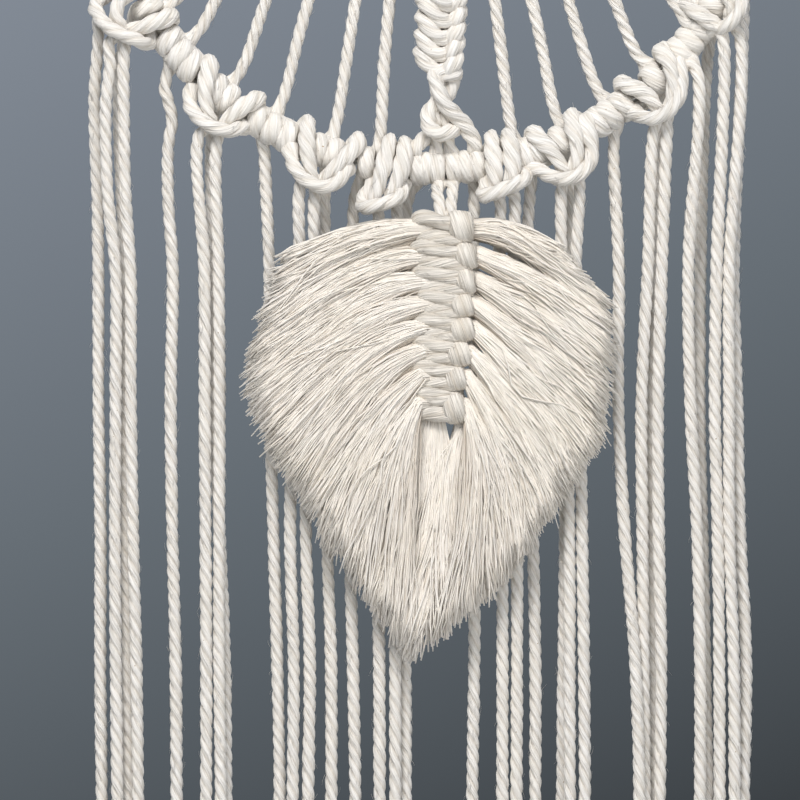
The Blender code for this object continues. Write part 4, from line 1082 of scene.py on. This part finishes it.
def steel(name):
    m = bpy.data.materials.new(name)
    m.use_nodes = True
    nt = m.node_tree
    nodes, links = nt.nodes, nt.links
    bsdf = nodes["Principled BSDF"]
    where = nodes.new("ShaderNodeTexCoord")
    n1 = nodes.new("ShaderNodeTexNoise")
    n1.inputs["Scale"].default_value = 140.0
    n1.inputs["Detail"].default_value = 6.0
    links.new(where.outputs["Object"], n1.inputs["Vector"])
    ramp = nodes.new("ShaderNodeValToRGB")
    ramp.color_ramp.elements[0].position = 0.35
    ramp.color_ramp.elements[0].color = (0.42, 0.40, 0.37, 1)
    ramp.color_ramp.elements[1].position = 0.7
    ramp.color_ramp.elements[1].color = (0.63, 0.62, 0.60, 1)
    links.new(n1.outputs["Fac"], ramp.inputs["Fac"])
    links.new(ramp.outputs["Color"], bsdf.inputs["Base Color"])
    mr = nodes.new("ShaderNodeMapRange")
    mr.inputs[3].default_value = 0.28
    mr.inputs[4].default_value = 0.5
    links.new(n1.outputs["Fac"], mr.inputs[0])
    links.new(mr.outputs[0], bsdf.inputs["Roughness"])
    bsdf.inputs["Metallic"].default_value = 1.0
    bump = nodes.new("ShaderNodeBump")
    bump.inputs["Strength"].default_value = 0.15
    bump.inputs["Distance"].default_value = 0.0001
    links.new(n1.outputs["Fac"], bump.inputs["Height"])
    links.new(bump.outputs["Normal"], bsdf.inputs["Normal"])
    return m


# the second colour of each look is the painted shade colour for its grooves and creases
cord_look = cotton("spun_cotton_cord", (0.86, 0.83, 0.79), (0.66, 0.58, 0.47), 0.2, 23.0, 0.022, 0.0007, 0.785)
combed_look = cotton("combed_cotton_yarn", (0.90, 0.85, 0.785), (0.46, 0.37, 0.27), 0.2, 4.0, 0.0, 0.00012, 0.9, 0.88)
midrib_look = cotton("combed_cotton_bundle", (0.86, 0.81, 0.74), (0.55, 0.45, 0.33), 0.2, 34.0, 0.006, 0.0011, 0.9, 0.64)
steel_look = steel("hoop_steel")

# ---------------------------------------------------------------------- hoop
hoop_pts, hoop_faces = [], []
SEG, SIDES = 240, 16
for i in range(SEG):
    for j in range(SIDES):
        hoop_pts.append(ring_at(360.0 * i / SEG, 360.0 * j / SIDES, WIRE_R) * 0.001)
for i in range(SEG):
    for j in range(SIDES):
        i2, j2 = (i + 1) % SEG, (j + 1) % SIDES
        hoop_faces.append((i * SIDES + j, i2 * SIDES + j, i2 * SIDES + j2, i * SIDES + j2))
mesh = bpy.data.meshes.new("hoop_ring")
mesh.from_pydata([tuple(p) for p in hoop_pts], [], hoop_faces)
mesh.update()
mesh.polygons.foreach_set("use_smooth", np.ones(len(mesh.polygons), bool))
mesh.materials.append(steel_look)
hoop_obj = bpy.data.objects.new("hoop_ring", mesh)
bpy.context.scene.collection.objects.link(hoop_obj)
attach(hoop_obj, "root")
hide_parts("hoop")

# ------------------------------------------------- pieces, bodies and cords
STANDS = {}
for k in FANS:
    STANDS["fan_" + k] = ["fan_cord_" + k]
    STANDS["hitch_" + k] = ["hitch_" + k]
    STANDS["end_" + (k if k in TAILS else k + "m")] = ["hitch_" + k]
for k in LOOPS:
    STANDS["loop_knot_" + k] = ["loop_" + k]
    STANDS["end_" + k + "1"] = ["loop_" + k]
    STANDS["end_" + k + "2"] = ["loop_" + k]
STANDS.update({
    "column_left_cord": ["sinnet"], "column_right_cord": ["sinnet"], "column_filler_a": ["sinnet"],
    "column_filler_b": ["sinnet"],
    "hitch_centre_left": ["centre_hitch_left"], "end_sl": ["centre_hitch_left"],
    "hitch_centre_right": ["centre_hitch_right"], "end_sr": ["centre_hitch_right"],
    "leaf_carrier_a": ["leaf_hanger"], "leaf_carrier_b": ["leaf_hanger"],
    "collar_winding": ["collar"], "saddle_cords": ["saddle"], "hanging_cord": ["hang_loop"],
    "leaf_midrib_knots": ["leaf_midrib"], "leaf_yarns_left": ["leaf_fringe_left"],
    "leaf_yarns_right": ["leaf_fringe_right"],
    "leaf_locks_left": ["leaf_fringe_left"], "leaf_locks_right": ["leaf_fringe_right"],
})

for name, b in batches.items():
    # a piece that shares its CAD node's name would clash with the node's object
    b.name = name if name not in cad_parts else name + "_cord"
    yarn = name.startswith("leaf_yarns")
    bundle = name.startswith("leaf_locks") or name == "leaf_midrib_knots"
    obj = b.build(combed_look if yarn else midrib_look if bundle else cord_look)
    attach(obj, "root")
    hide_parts(*STANDS[name])

# --------------------------------------------------------------------- stage
bpy.ops.mesh.primitive_plane_add(size=3.0, location=(0, 0, -0.66))
floor = bpy.context.object
floor.name = "floor"
fm = bpy.data.materials.new("floor_paint")
fm.use_nodes = True
fm.node_tree.nodes["Principled BSDF"].inputs["Base Color"].default_value = (0.62, 0.62, 0.61, 1)
fm.node_tree.nodes["Principled BSDF"].inputs["Roughness"].default_value = 0.9
floor.data.materials.append(fm)

world = bpy.data.worlds.new("studio")
bpy.context.scene.world = world
world.use_nodes = True
wn, wl = world.node_tree.nodes, world.node_tree.links
# The backdrop is painted lighter towards the upper left and darker towards the lower right: a painted fall-off of the
# light on the wall.
wall = wn.new("ShaderNodeTexCoord")
wsplit = wn.new("ShaderNodeSeparateXYZ")
wl.new(wall.outputs["Generated"], wsplit.inputs["Vector"])
wmix = wn.new("ShaderNodeMath")
wmix.operation = "MULTIPLY_ADD"
wl.new(wsplit.outputs["X"], wmix.inputs[0])
wmix.inputs[1].default_value = -0.36
wl.new(wsplit.outputs["Z"], wmix.inputs[2])
wramp = wn.new("ShaderNodeValToRGB")
wrange = wn.new("ShaderNodeMapRange")
wl.new(wmix.outputs[0], wrange.inputs[0])
wrange.inputs[1].default_value = -0.11
wrange.inputs[2].default_value = 0.11
wl.new(wrange.outputs[0], wramp.inputs["Fac"])
wramp.color_ramp.elements[0].position = 0.0
wramp.color_ramp.elements[0].color = (0.046, 0.053, 0.059, 1)
wramp.color_ramp.elements[1].position = 1.0
wramp.color_ramp.elements[1].color = (0.225, 0.255, 0.30, 1)
wmid = wramp.color_ramp.elements.new(0.5)
wmid.color = (0.135, 0.158, 0.18, 1)
wl.new(wramp.outputs["Color"], world.node_tree.nodes["Background"].inputs["Color"])
world.node_tree.nodes["Background"].inputs["Strength"].default_value = 1.0
bpy.context.scene.view_settings.view_transform = "Standard"


def area(name, place, size, power, colour=(1, 1, 1)):
    data = bpy.data.lights.new(name, "AREA")
    data.shape = "DISK"
    data.size = size
    data.energy = power
    data.color = colour
    obj = bpy.data.objects.new(name, data)
    bpy.context.scene.collection.objects.link(obj)
    obj.location = place
    target = np.array([0, 0, -0.30])
    way = target - np.array(place)
    from mathutils import Vector
    obj.rotation_euler = Vector(way).to_track_quat("-Z", "Y").to_euler()
    return obj


area("key", (-0.30, -1.10, 0.75), 0.7, 21.0, (1.0, 0.98, 0.96))
area("fill", (0.8, -1.4, -0.1), 1.2, 8.5, (0.985, 0.985, 1.0))
area("back", (0.2, 1.8, 0.8), 1.2, 6.0, (1.0, 1.0, 1.0))
